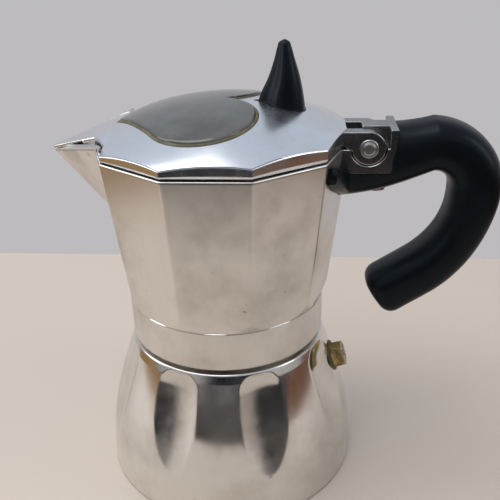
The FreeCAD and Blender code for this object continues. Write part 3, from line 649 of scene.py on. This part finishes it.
# %% Lid: height
LID_Z, LID_WALL, DOME_TOP, DOME_TILT = 118.5, 1.8, 131.0, math.tan(math.radians(1.7))
DOME_RADII, DOME_DROPS = (-20.0, 0.0, 20.0, 33.0, 39.1, 44.0), (2.0, 0.0, 2.0, 6.1, 8.7, 11.4)
BEAK_TIP_X, BEAK_TIP_Z, BEAK_TIP_W, BEAK_LENGTH = -54.3, 116.6, 1.0, 26.3
BEAK_RISE, BEAK_SPREAD, BEAK_FALL, BEAK_CREASE = 9.1 / BEAK_LENGTH, 15.5 / BEAK_LENGTH, 2.2, 0.15
BEAK_FADE_X, BEAK_FADE, BEAK_BACK_X, ROOT_W, ROOT_SPREAD = -34.0, 0.12, -24, 19.0, 1.71


def dome_height(x, y):
    """A turned crown, tilted up a little towards the hinge."""
    return DOME_TOP + x * DOME_TILT - through(DOME_RADII, DOME_DROPS, np.hypot(x, y))


def over_dome(lift):
    """The dome's height at a place, raised by a fixed amount."""
    return lambda x, y: dome_height(x, y) + lift


def lid_height(x, y):
    """The crown, or the beak's crowned wedge in front of it."""
    crown = dome_height(x, y)
    beak = BEAK_TIP_Z + BEAK_RISE * (x - BEAK_TIP_X) - BEAK_FALL * (y / ROOT_W) ** 4
    beak = beak - BEAK_FADE * np.maximum(x - BEAK_FADE_X, 0) ** 2
    return np.where(x < BEAK_BACK_X, soft_max(crown, beak, BEAK_CREASE), crown)


# %% [markdown]
# The window is a heart: two discs, and two straight lines from them to the point. The rim is ten sides with the
# beak in front and a notch for the hinge. Both outlines are written as a distance from the window's middle, so
# that the lid is a simple ring between them.

# %% Lid: outlines
LOBE_R, LOBE_X, LOBE_Y, HEART_TIP, HEART_MIDDLE = 15.6, -3.4, 14.6, -32.0, -8.0
CLIP_X, CLIP_Y, NOTCH_X, NOTCH_Y = -RIM_R * math.cos(2 * HALF) + 0.4, 24.47, 39.4, 3.85
ROOT_END_X, ROOT_END_Y = -37.5, 11.0
EVEN_BEARINGS, CLOSE_STEP = 420, 0.006
FAR, SMALL, AHEAD = 1e3, 0.02, 0.5


def heart_reach(angle, grow):
    """Distance from the window's middle to the heart's edge, which lies further out by grow."""
    r = LOBE_R + grow
    run = LOBE_X - HEART_TIP
    half = math.atan2(LOBE_Y, run) + math.asin(LOBE_R / math.hypot(run, LOBE_Y))
    tip = HEART_TIP - grow / math.sin(half)
    x, y = HEART_MIDDLE - LOBE_X, -LOBE_Y
    bearing = np.abs(np.mod(angle + math.pi, FULL_TURN) - math.pi)
    along = x * np.cos(bearing) + y * np.sin(bearing)
    disc = -along + np.sqrt(np.maximum(along ** 2 - x * x - y * y + r * r, 0))
    slant = np.sin(bearing) * math.cos(half) - np.cos(bearing) * math.sin(half)
    line = (HEART_MIDDLE - tip) * math.sin(half) / np.maximum(slant, SMALL)
    stretch = math.sqrt((LOBE_X - tip) ** 2 + LOBE_Y ** 2 - r * r)
    touch = math.atan2(stretch * math.sin(half), tip + stretch * math.cos(half) - HEART_MIDDLE)
    return np.where(bearing > touch, line, disc)


def rim_reach(angle, inset):
    """Distance from the window's middle to the lid's outline, beak and hinge notch included."""
    c, s = np.cos(angle), np.sin(angle)
    facing = HALF * (2 * np.arange(SIDES) + 1)
    toward = c[..., None] * np.cos(facing) + s[..., None] * np.sin(facing)
    gap = RIM_R * math.cos(HALF) - inset - HEART_MIDDLE * np.cos(facing)
    sides = np.min(np.where(toward > SMALL, gap / np.maximum(toward, SMALL), FAR), -1)
    clip = np.where(c < -SMALL, (HEART_MIDDLE - CLIP_X - inset) / np.maximum(-c, SMALL), FAR)
    notch = np.where(c > AHEAD, (NOTCH_X - inset - HEART_MIDDLE) / np.maximum(c, AHEAD), FAR)
    sides = np.minimum(np.minimum(sides, clip), np.where(np.abs(notch * s) < NOTCH_Y, notch, FAR))
    width = BEAK_TIP_W + BEAK_SPREAD * (HEART_MIDDLE - BEAK_TIP_X)
    beak = np.minimum(width / np.maximum(np.abs(s) - BEAK_SPREAD * c, SMALL),
                      (HEART_MIDDLE - BEAK_TIP_X) / np.maximum(-c, SMALL))
    root = ROOT_W + ROOT_SPREAD * (HEART_MIDDLE - CLIP_X)
    root = root / np.maximum(np.abs(s) - ROOT_SPREAD * c, SMALL)
    root = np.where(root * np.abs(s) < ROOT_W, root, 0.0)
    return np.where((c < -AHEAD) & (inset == 0), np.maximum(sides, np.maximum(beak, root)), sides)


def lid_angles():
    """Bearings of the lid's corners from the window's middle, with close steps beside each one."""
    corners = RIM_R * np.exp(1j * 2 * HALF * np.arange(SIDES)) - HEART_MIDDLE
    bends = ((CLIP_X, ROOT_W), (CLIP_X, CLIP_Y), (ROOT_END_X, ROOT_END_Y), (BEAK_TIP_X, BEAK_TIP_W))
    beak = [complex(x - HEART_MIDDLE, side * y) for side in (-1, 1) for x, y in bends]
    exact = np.angle(np.concatenate([corners, beak]))
    near = (exact[:, None] + np.array([-CLOSE_STEP, 0.0, CLOSE_STEP])[None, :]).reshape(-1)
    even = np.linspace(-math.pi, math.pi, EVEN_BEARINGS, endpoint=False)
    return np.unique(np.round(np.concatenate([even, near]), 6))


def ring_points(reach, angle, height):
    """Points at a distance from the window's middle, with a height worked out from their place."""
    x, y = HEART_MIDDLE + reach * np.cos(angle), reach * np.sin(angle)
    return np.stack([x, y, height(x, y) if callable(height) else height * np.ones_like(x)], -1)


# %% Lid: casting
SEAL_W, SEAL_CLEAR, BEAK_SIDE, BEAK_UNDER = 0.9, 0.02, 19.5, 119.2
BEAK_PLUG_X, PLUG_Z, PLUG_SLOPE, BEAK_GAP = -42.0, 117.4, 0.3, 0.3
LID_ROLL, LID_BEVEL, LID_LEAST, UNDER_ROWS = 0.22, 0.8, 0.6, 14
LID_SHARES = np.concatenate([[0.012], np.linspace(0.03, 0.97, 40), [0.985]])


def make_lid():
    """A ring from the heart out over the dome, down the rim's edge, and back inside under the dome."""
    angle = lid_angles()
    hole = heart_reach(angle, SEAL_W + SEAL_CLEAR)
    rim, inner = rim_reach(angle, 0), rim_reach(angle, LID_WALL)
    edge_x, edge_y = HEART_MIDDLE + rim * np.cos(angle), rim * np.sin(angle)
    on_beak = (edge_x < CLIP_X - 0.05) & (np.abs(edge_y) < BEAK_SIDE)
    plug = np.where(edge_x > BEAK_PLUG_X, PLUG_Z + PLUG_SLOPE * (edge_x - BEAK_PLUG_X),
                    cheek_height(edge_x) + BEAK_GAP)
    low, top = np.where(on_beak, plug, LID_Z), lid_height(edge_x, edge_y)
    tall = np.maximum(top - low, LID_LEAST)
    rows = [ring_points(hole, angle, over_dome(-LID_WALL)),
            ring_points(hole + 0.001, angle, lambda x, y: lid_height(x, y) - 0.12)]
    rows += [ring_points(hole + (rim - hole) * share, angle, lid_height) for share in LID_SHARES]
    rows += [ring_points(rim - LID_ROLL, angle, lid_height), ring_points(rim - 0.05, angle, top - 0.08)]
    rows += [ring_points(rim, angle, top - tall * share) for share in (0.12, 0.35, 0.65)]
    rows += [ring_points(rim, angle, low + np.minimum(LID_BEVEL, tall * 0.25)),
             ring_points(rim - np.where(on_beak, 0.1, LID_BEVEL * 0.7), angle, low + 0.03),
             ring_points(rim - np.where(on_beak, 0.2, LID_BEVEL * 0.8), angle, low),
             ring_points(inner + 0.02, angle, np.where(on_beak, BEAK_UNDER, LID_Z))]
    rows += [ring_points(inner + (hole - inner) * share, angle, over_dome(-LID_WALL))
             for share in np.linspace(0, 1, UNDER_ROWS)[:-1]]
    surface("lid_casting", [np.stack(rows)], lid_metal, "lid_body", ["lid"],
            wrap_rows=True)


make_lid()

# %% [markdown]
# The smoky panel fills the heart and stands a little proud of the dome, with a rounded edge and a dark line of
# seal round it. Both follow the dome's own height, so they sit right wherever it curves.

# %% Window and seal
WINDOW_PROUD, WINDOW_THICK, WINDOW_ROLL, WINDOW_SPAN, WINDOW_MIDDLE = 0.7, 2.3, 0.55, 16, 0.002
SEAL_SECTION = ((0.03, 0.1), (0.15, 0.25), (0.65, 0.25), (0.88, 0.05), (0.88, -1.8), (0.03, -1.8))


def make_window():
    """Shrunken hearts from the middle to the rolled edge, then back underneath."""
    angle = lid_angles()
    reach = heart_reach(angle, 0)
    rows = [ring_points(reach * share, angle, over_dome(WINDOW_PROUD))
            for share in np.linspace(WINDOW_MIDDLE, 1 - WINDOW_ROLL / WINDOW_SPAN, 30)]
    for turn in np.radians([20, 45, 70, 90]):
        lift = WINDOW_PROUD - WINDOW_ROLL * (1 - math.cos(turn))
        rows.append(ring_points(reach - WINDOW_ROLL * (1 - math.sin(turn)), angle, over_dome(lift)))
    rows += [ring_points(reach * share, angle, over_dome(WINDOW_PROUD - WINDOW_THICK))
             for share in (1.0, 0.6, WINDOW_MIDDLE)]
    surface("window_panel", [np.stack(rows)], window, "lid_body", ["lid_window"], caps=True)


def make_seal():
    """A section of growth and height, carried round the heart."""
    angle = lid_angles()
    ring = [ring_points(heart_reach(angle, grow), angle, over_dome(lift)) for grow, lift in SEAL_SECTION]
    surface("window_line", [np.stack(ring)], olive_seal, "lid_body", ["window_seal"],
            wrap_rows=True)


make_window()
make_seal()

# %% [markdown]
# The hinge is a lug on the vessel and two ears on the lid. Flat plates like these need no formula for their
# faces: they are drawn from the side, pushed out to their width, and a Bevel modifier rounds their edges.

# %% Hinge plates
PIN_X, PIN_Z, EAR_R, EAR_CLEAR, EAR_IN, EAR_OUT, EAR_ROOT = 46.2, 117.7, 5.2, 0.35, 3.85, 8.5, 38.1
LUG_Z, LUG_TOP, LUG_END, LUG_SLANT, LUG_SIDE_ROOT, REAR_X = 109.5, 123.6, 55.0, 1.4, 37.6, 52.5
TONGUE_ROOT, TONGUE_X, TONGUE_HALF, TONGUE_LAP, UNDER_RIM = 39.4, 44.2, 3.5, 0.1, 0.6
PLATE_EDGE, PLATE_SEGMENTS, PLATE_CORNER = 0.35, 3, math.radians(35)


def round_arc(radius, start, end, steps):
    """Points on a circle about the hinge pin, from one angle to another, in degrees."""
    turn = np.radians(np.linspace(start, end, steps))
    return np.stack([PIN_X + radius * np.cos(turn), PIN_Z + radius * np.sin(turn)], -1).tolist()


def make_plates(name, outlines, spans, material, body):
    """Flat plates from side outlines of x and z, each between two distances across."""
    grids = []
    for outline, span in zip(outlines, spans):
        x, z = np.array(outline).T
        grids.append(np.stack([np.stack([x, np.full_like(x, y), z], -1) for y in span]))
    piece = surface(name, grids, material, body, caps=True, smooth=False)
    bevel = piece.modifiers.new("edges", "BEVEL")
    bevel.width, bevel.segments = PLATE_EDGE * MM, PLATE_SEGMENTS
    bevel.limit_method, bevel.angle_limit = "ANGLE", PLATE_CORNER


def make_hinge():
    """The lug is two cheeks with a round pocket and a tongue between them. The ears turn in the pockets."""
    back = [(LUG_END - LUG_SLANT, LUG_Z), (LUG_END, LUG_TOP)]
    rim = RIM_Z - UNDER_RIM
    side = [(LUG_SIDE_ROOT, LUG_Z), *back, (REAR_X, LUG_TOP), (REAR_X, PIN_Z),
            *round_arc(EAR_R + EAR_CLEAR, 0, -177, 25), (LUG_SIDE_ROOT, rim)]
    tongue = [(TONGUE_ROOT, LUG_Z), *back, (TONGUE_X, LUG_TOP), (TONGUE_X, RIM_Z), (TONGUE_ROOT, rim)]
    inner = TONGUE_HALF - TONGUE_LAP
    make_plates("hinge_lug", [side, side, tongue],
                [(-EAR_OUT, -inner), (inner, EAR_OUT), (-TONGUE_HALF, TONGUE_HALF)],
                painted_dark_hinge_metal, "collector_body")
    ear = [(EAR_ROOT, LID_Z + 0.2), (EAR_ROOT, PIN_Z + EAR_R), (PIN_X, PIN_Z + EAR_R),
           *round_arc(EAR_R, 80, -171, 30)]
    make_plates("lid_ears", [ear, ear], [(-EAR_OUT, -EAR_IN), (EAR_IN, EAR_OUT)],
                painted_dark_hinge_metal, "lid_body")


make_hinge()

# %% [markdown]
# The pin is hammered flat at both ends, which leaves a button with a ring pressed into it on each ear. The
# solid pin stays inside, and only the button is added, as a small turned profile.

# %% Pin ends
PIN_PROFILE = np.array([[2.9, 8.45], [2.9, 8.62], [2.6, 8.72], [2.2, 8.62], [2.05, 8.6], [1.9, 8.95],
                        [1.5, 9.05], [1.2, 8.85], [0.9, 8.8], [0.02, 8.82]])


def make_pin_ends():
    """The profile's radius turns about the pin, and its second number is the way out along it."""
    angle = np.linspace(0, FULL_TURN, 40, endpoint=False)
    radius, out = PIN_PROFILE[:, :1], PIN_PROFILE[:, 1:]
    x, z = PIN_X + radius * np.cos(angle), PIN_Z + radius * np.sin(angle)
    ends = [np.stack([x, side * out * np.ones_like(x), z], -1) for side in (-1, 1)]
    surface("pin_ends", ends, steel, "collector_body", caps=True)


make_pin_ends()

# %% [markdown]
# The knob is a moulded horn with a thin fin towards the spout. It could be sculpted, but a few level sections
# say how far it reaches to the front, back and sides, and a smooth curve through them fills in the rest.

# %% Knob
KNOB_X, KNOB_FOOT, KNOB_TIP, KNOB_ROUND, KNOB_LIFT = 20.3, 125.0, 149.0, 2.5, 0.02
KNOB_ROWS, CROWN_ROWS, KNOB_COLUMNS = 60, 16, 72
KNOB_OUTLINE = np.array([(0.0, 0.0), (0.22, 0.42), (0.42, 0.96), (0.70, 1.0), (0.94, 0.62), (1.0, 0.0)])
KNOB_SECTIONS = np.array([(125.0, 9.6, 6.7, 6.2), (127.0, 9.1, 6.5, 6.0), (132.0, 7.7, 5.9, 5.4),
                          (138.0, 4.9, 4.7, 4.4), (144.0, 2.9, 2.9, 2.9), (147.0, 2.1, 2.0, 2.1),
                          (148.4, 1.45, 1.35, 1.4), (149.0, 0.3, 0.3, 0.3)])


def make_knob():
    """Each level is a drop-shaped outline, scaled by its section and kept above the dome."""
    crown = KNOB_TIP - KNOB_ROUND * (1 - np.sin(np.linspace(0.05, 1.55, CROWN_ROWS)))
    z = np.concatenate([np.linspace(KNOB_FOOT, KNOB_TIP - KNOB_ROUND, KNOB_ROWS), crown])
    front, back, half = through(KNOB_SECTIONS[:, 0], KNOB_SECTIONS[:, 1:], z).T[..., None]
    share, wide = KNOB_OUTLINE.T
    along, across = np.concatenate([share, share[-2:0:-1]]), np.concatenate([-wide, wide[-2:0:-1]])
    knots = np.linspace(0, FULL_TURN, len(along), endpoint=False)
    t = np.linspace(0, FULL_TURN, KNOB_COLUMNS, endpoint=False)
    x = KNOB_X - front + (front + back) * closed_curve(knots, along, t)
    y = half * closed_curve(knots, across, t)
    height = np.maximum(z[:, None], dome_height(x, y) + KNOB_LIFT)
    surface("knob_horn", [np.stack([x, y, height], -1)], plastic, "lid_body", ["lid_knob"],
            caps=True)


make_knob()

# %% [markdown]
# The handle is one moulding: an arm under the hinge lug, a tight bend, a long curved back and a short straight
# tail. A curve with a bevel scales its section as a whole, so a line is worked out with a depth and a width
# of its own at every point, and a rounded square is carried along it.

# %% Handle: line
ARM_X, ARM_Z, ARM_H, ARM_W = 36.0, 111.9, 23.0, 17.6
BEND_X, BEND_Z, BEND_R, BEND_T, HANDLE_W = 66.8, 103.3, 13.9, 16.4, 18.6
BACK_R, BACK_SWEEP, BACK_T = 37.0, 56.0, 15.3
TAIL_LEN, TAIL_T, TAIL_W, NOSE_LEN, NOSE_SHRINK = 16.0, 17.0, 17.0, 4.5, 0.42
ARM_ROWS, BEND_ROWS, BACK_ROWS, TAIL_ROWS, NOSE_ROWS = 90, 44, 60, 10, 14
HANDLE_MARKS = (0.0, 14.0, 31.0, 53.0, 66.0, 89.0)
HANDLE_DEPTHS = (ARM_H, 20.6, BEND_T, BEND_T, BACK_T, 16.2, TAIL_T)
HANDLE_WIDTHS = (ARM_W, ARM_W, 18.0, HANDLE_W, HANDLE_W, 18.2, TAIL_W)


def tail_steps():
    """Distances down the tail, crowded towards its nose, and the share of the section left at each."""
    straight = TAIL_LEN - NOSE_LEN
    left = np.concatenate([np.linspace(0, straight, TAIL_ROWS)[1:],
                           straight + NOSE_LEN * np.sin(np.radians(np.linspace(4, 90, NOSE_ROWS)))])
    nose = np.clip((left - TAIL_LEN + NOSE_LEN) / NOSE_LEN, 0, 1)
    return left, 1 - NOSE_SHRINK * (1 - np.sqrt(1 - nose ** 2))


def handle_line():
    """Middle points, facing angle, depth and width: arm, tight bend, long back and straight tail."""
    arm = np.linspace(0, 1, ARM_ROWS)
    bend = np.radians(np.linspace(90, 0, BEND_ROWS)[1:])
    back = np.radians(np.linspace(0, -BACK_SWEEP, BACK_ROWS)[1:])
    left, shrink = tail_steps()
    end = back[-1]
    centre = BEND_X + BEND_R - BACK_R
    x = np.concatenate([ARM_X + (BEND_X - ARM_X) * arm, BEND_X + BEND_R * np.cos(bend),
                        centre + BACK_R * np.cos(back)])
    z = np.concatenate([ARM_Z + (BEND_Z + BEND_R - ARM_Z) * (arm * arm), BEND_Z + BEND_R * np.sin(bend),
                        BEND_Z + BACK_R * np.sin(back)])
    shrink = np.concatenate([np.ones(len(x)), shrink])
    x, z = np.append(x, x[-1] + left * math.sin(end)), np.append(z, z[-1] - left * math.cos(end))
    turn = np.concatenate([np.full(len(arm), math.pi / 2), bend, back, np.full(len(left), end)])
    run = np.concatenate([[0], np.cumsum(np.hypot(np.diff(x), np.diff(z)))])
    marks = (*HANDLE_MARKS, run[-1])
    depth, width = through(marks, HANDLE_DEPTHS, run), through(marks, HANDLE_WIDTHS, run)
    return x, z, turn, depth * shrink, width * shrink


# %% [markdown]
# Where the handle meets the pot it is cut level under the lug, pushed out to the vessel's wall, and spread to
# both sides in a saddle that lies along the wall. The saddle's wings are two more sections carried along lines.

# %% Handle: moulding
SQUARENESS, SHELF_END, SHELF_SLOPE, SHELF_STOP = 2.7, 53.4, 9.0, 58
WALL_SINK, FIT_X, FIT_Z = 0.3, 46, 90
BAR_COLUMNS, WING_COLUMNS, WING_ROWS = 80, 28, 26
SADDLE_REACH, SADDLE_RUN, SADDLE_TOP, SADDLE_DROP, SADDLE_POWER = 22.4, 16.5, 116.4, 6.9, 0.4
SADDLE_AT, SADDLE_LOW = (0.0, 0.55, 1.0), (111.3, 105.6, 102.0)
SADDLE_THICK, SADDLE_SWELL, SADDLE_SINK, SADDLE_CLEAR = 2.9, 0.9, 0.1, 0.6


def rounded_square(steps, power):
    """Cosine and sine round a section, pushed towards a square by a power below one."""
    turn = np.linspace(0, FULL_TURN, steps, endpoint=False)[None, :]
    return [np.sign(v) * np.abs(v) ** power for v in (np.cos(turn), np.sin(turn))]


def handle_bar():
    """The section carried along the handle's line, cut level under the lug and fitted to the wall."""
    x, z, out, depth, width = (v[:, None] for v in handle_line())
    c, s = rounded_square(BAR_COLUMNS, 2 / SQUARENESS)
    px, py, pz = x + np.cos(out) * c * depth / 2, s * width / 2, z + np.sin(out) * c * depth / 2
    roof = np.where(px < SHELF_END, LUG_Z, LUG_Z + (px - SHELF_END) * SHELF_SLOPE)
    pz = np.where(px < SHELF_STOP, np.minimum(pz, roof), pz)
    wall = corner_radius(pz) - np.abs(py) * math.tan(HALF) - WALL_SINK
    px = np.where(pz > FIT_Z, np.maximum(px, np.where(px < FIT_X, wall, px)), px)
    return np.stack([px, py, pz], -1)


def saddle_wing(side):
    """A wing along the wall: from its outer end inwards it sinks, deepens and thickens."""
    t = np.linspace(0, 1, WING_ROWS)[:, None]
    reach, top = SADDLE_REACH - SADDLE_RUN * t, SADDLE_TOP - SADDLE_DROP * t
    low = through(SADDLE_AT, SADDLE_LOW, t[:, 0])[:, None]
    c, s = rounded_square(WING_COLUMNS, SADDLE_POWER)
    height = (top + low) / 2 + (top - low) / 2 * s
    height = np.where(reach < EAR_OUT + SADDLE_CLEAR, np.minimum(height, LUG_Z), height)
    skin = corner_radius(height) - reach * math.tan(HALF)
    thick = SADDLE_THICK + SADDLE_SWELL * t
    x = skin + thick / 2 + thick / 2 * c - SADDLE_SINK
    return np.stack([x, side * reach * np.ones_like(height), height], -1)


surface("handle_moulding", [handle_bar(), saddle_wing(-1), saddle_wing(1)], plastic, "collector_body",
        ["handle"], caps=True)

# %% [markdown]
# The small turned and stamped pieces are already right as solids, so they stay and only get their finish.

# %% Finishes for the pieces that stay
STAYING = {
    brass: ("valve_body", "valve_cap"),
    steel: ("valve_plunger", "valve_spring", "knob_screw", "hinge_pin", "handle_screw"),
    rubber: ("gasket",),
    olive_seal: ("valve_washer",),
    inner_metal: ("funnel_basket", "funnel_tube", "funnel_grid", "filter_plate", "coffee_column"),
}
for material, names in STAYING.items():
    for name in names:
        mesh = nodes[name].data
        mesh.materials.clear()
        mesh.materials.append(material)
    print(material.name, "on:", names)

# %% [markdown]
# The valve's spring rides on the plunger, and its other end rests on the cap. When the plunger lifts, the
# spring has to give by as much. Here it only gets a mesh of its own, and its length along the valve's axis is
# printed.

# %% Spring
VALVE_AXIS, VALVE_LIFT = np.array([0.947119, -0.066229, 0.313974]), 0.001


def press_spring(spring):
    """Length along the valve's axis, and the share of it that is left at full lift."""
    flat = np.empty(3 * len(spring.data.vertices))
    spring.data.vertices.foreach_get("co", flat)
    turn = np.array(spring.matrix_world)
    points = flat.reshape(-1, 3) @ turn[:3, :3].T + turn[:3, 3]
    along = points @ VALVE_AXIS
    length = along.max() - along.min()
    inner = points[along.argmin()].tolist()
    float(1 - VALVE_LIFT / length)
    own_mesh(spring)
    print("spring length:", round(length * 1000, 2))


press_spring(nodes["valve_spring"])

# %% [markdown]
# Polished metal shows what is round it, so the stage matters. The table is pale and warm, and ends behind the
# pot. Three flat cards lie on it that the camera doesn't see and that cast no shadow: they are painted
# reflections that only show in the metal, a near-black card in front as painted shade and two brown ones at
# the sides as a darker, browner table. A wall would block the views from behind, so there is none.

# %% Table and cards
TABLE_END, TABLE_SIDE, TABLE_FRONT = 0.157, 1.6, 1.6
CARD_Y, CARD_X, CARD_BACK, CARD_Z = -0.20, 0.22, 0.14, 0.003
TABLE_COLOUR, TINT_SCALE, TINT_SHADE = (0.62, 0.53, 0.45, 1), 6.0, 0.96
# The cards are painted reflections: the front one is painted shade, the side ones a painted brown reflection.
CARDS = {"front_shade_card": ((-TABLE_SIDE, -TABLE_FRONT, TABLE_SIDE, CARD_Y), (0.016, 0.015, 0.015, 1)),
         "left_reflection_card": ((-TABLE_SIDE, CARD_Y, -CARD_X, CARD_BACK), (0.26, 0.15, 0.06, 1)),
         "right_reflection_card": ((CARD_X, CARD_Y, TABLE_SIDE, CARD_BACK), (0.16, 0.075, 0.04, 1))}


def stage_plane(name, box, z, colour, rough, gloss):
    """A level rectangle of one colour, faintly clouded, which belongs to the stage."""
    x0, y0, x1, y1 = box
    mesh = bpy.data.meshes.new(name)
    mesh.from_pydata([(x0, y0, z), (x1, y0, z), (x1, y1, z), (x0, y1, z)], [], [[0, 1, 2, 3]])
    paint = Finish(name + "_paint", Roughness=rough, Specular_IOR_Level=gloss)
    shaded = tuple(v * TINT_SHADE for v in colour[:3]) + (1,)
    paint.feed("Base Color", paint.mix(paint.noise(TINT_SCALE, 3.0), colour, shaded))
    mesh.materials.append(paint.material)
    plane = bpy.data.objects.new(name, mesh)
    bpy.context.scene.collection.objects.link(plane)
    print("stage:", name)
    return plane


stage_plane("table", (-TABLE_SIDE, -TABLE_FRONT, TABLE_SIDE, TABLE_END), 0, TABLE_COLOUR, rough=0.5, gloss=0.4)
for name, (box, colour) in CARDS.items():
    card = stage_plane(name, box, CARD_Z, colour, rough=0.9, gloss=0.0)
    card.visible_camera = False
    card.visible_shadow = False
    card.visible_diffuse = False

# %% [markdown]
# A large soft lamp hangs above the pot and two smaller ones stand at its sides, as windows would. The room is
# the world's own colour: pale all round, and dark low down on the camera's side, for the metal to mirror.

# %% Lamps and room
LAMP_AIM, ROOM_LIGHT = 0.09, 0.55
LAMPS = (("ceiling", (-0.30, -0.10, 0.95), (0, 0, 0.08), (0.9, 0.7), 5.2, (1.0, 0.985, 0.97)),
         ("window_left", (-0.85, -0.05, 0.45), (0, 0, LAMP_AIM), (0.5, 0.7), 2.2, (0.94, 0.97, 1.0)),
         ("side_right", (0.85, -0.25, 0.5), (0, 0, LAMP_AIM), (0.3, 0.6), 1.2, (1.0, 0.97, 0.93)))
HORIZON, SKY, DARK_ROOM = (0.92, 0.90, 0.93, 1), (0.95, 1.03, 1.16, 1), (0.010, 0.014, 0.021, 1)
FRONT_X, FRONT_Y = 0.174, 0.985


def soft_lamp(name, place, aim, size, power, colour):
    """A rectangle of light at a place, turned to face the point that it is aimed at."""
    data = bpy.data.lights.new(name, "AREA")
    data.shape, data.size, data.size_y, data.energy, data.color = "RECTANGLE", size[0], size[1], power, colour
    lamp = bpy.data.objects.new(name, data)
    lamp.location = place
    lamp.rotation_mode = "QUATERNION"
    lamp.rotation_quaternion = (Vector(aim) - Vector(place)).to_track_quat("-Z", "Y")
    bpy.context.scene.collection.objects.link(lamp)
    print("lamp:", name, power, "W")


def make_world():
    """Light from all round: pale at the horizon, cooler above, and a dark patch low in front of the pot."""
    world = bpy.data.worlds.new("room")
    world.use_nodes = True
    bpy.context.scene.world = world
    room = Nodes(world.node_tree)
    look = room.add("ShaderNodeTexCoord", out="Generated")
    right, back, up = (room.add("ShaderNodeSeparateXYZ", {0: look}, out=axis) for axis in "XYZ")
    front = right * FRONT_X - back * FRONT_Y
    tone = room.mix(room.step(up, 0.02, 0.6), HORIZON, SKY)
    shade = room.step(front, 0.76, 0.90) * room.step(up, -0.02, 0.02) * (1.0 - room.step(up, 0.25, 0.32))
    background = room.tree.nodes["Background"]
    background.inputs["Strength"].default_value = ROOM_LIGHT
    connect(room.tree, background.inputs["Color"], room.mix(shade, tone, DARK_ROOM))


for lamp in LAMPS:
    soft_lamp(*lamp)
make_world()
bpy.context.scene.view_settings.view_transform = "Standard"
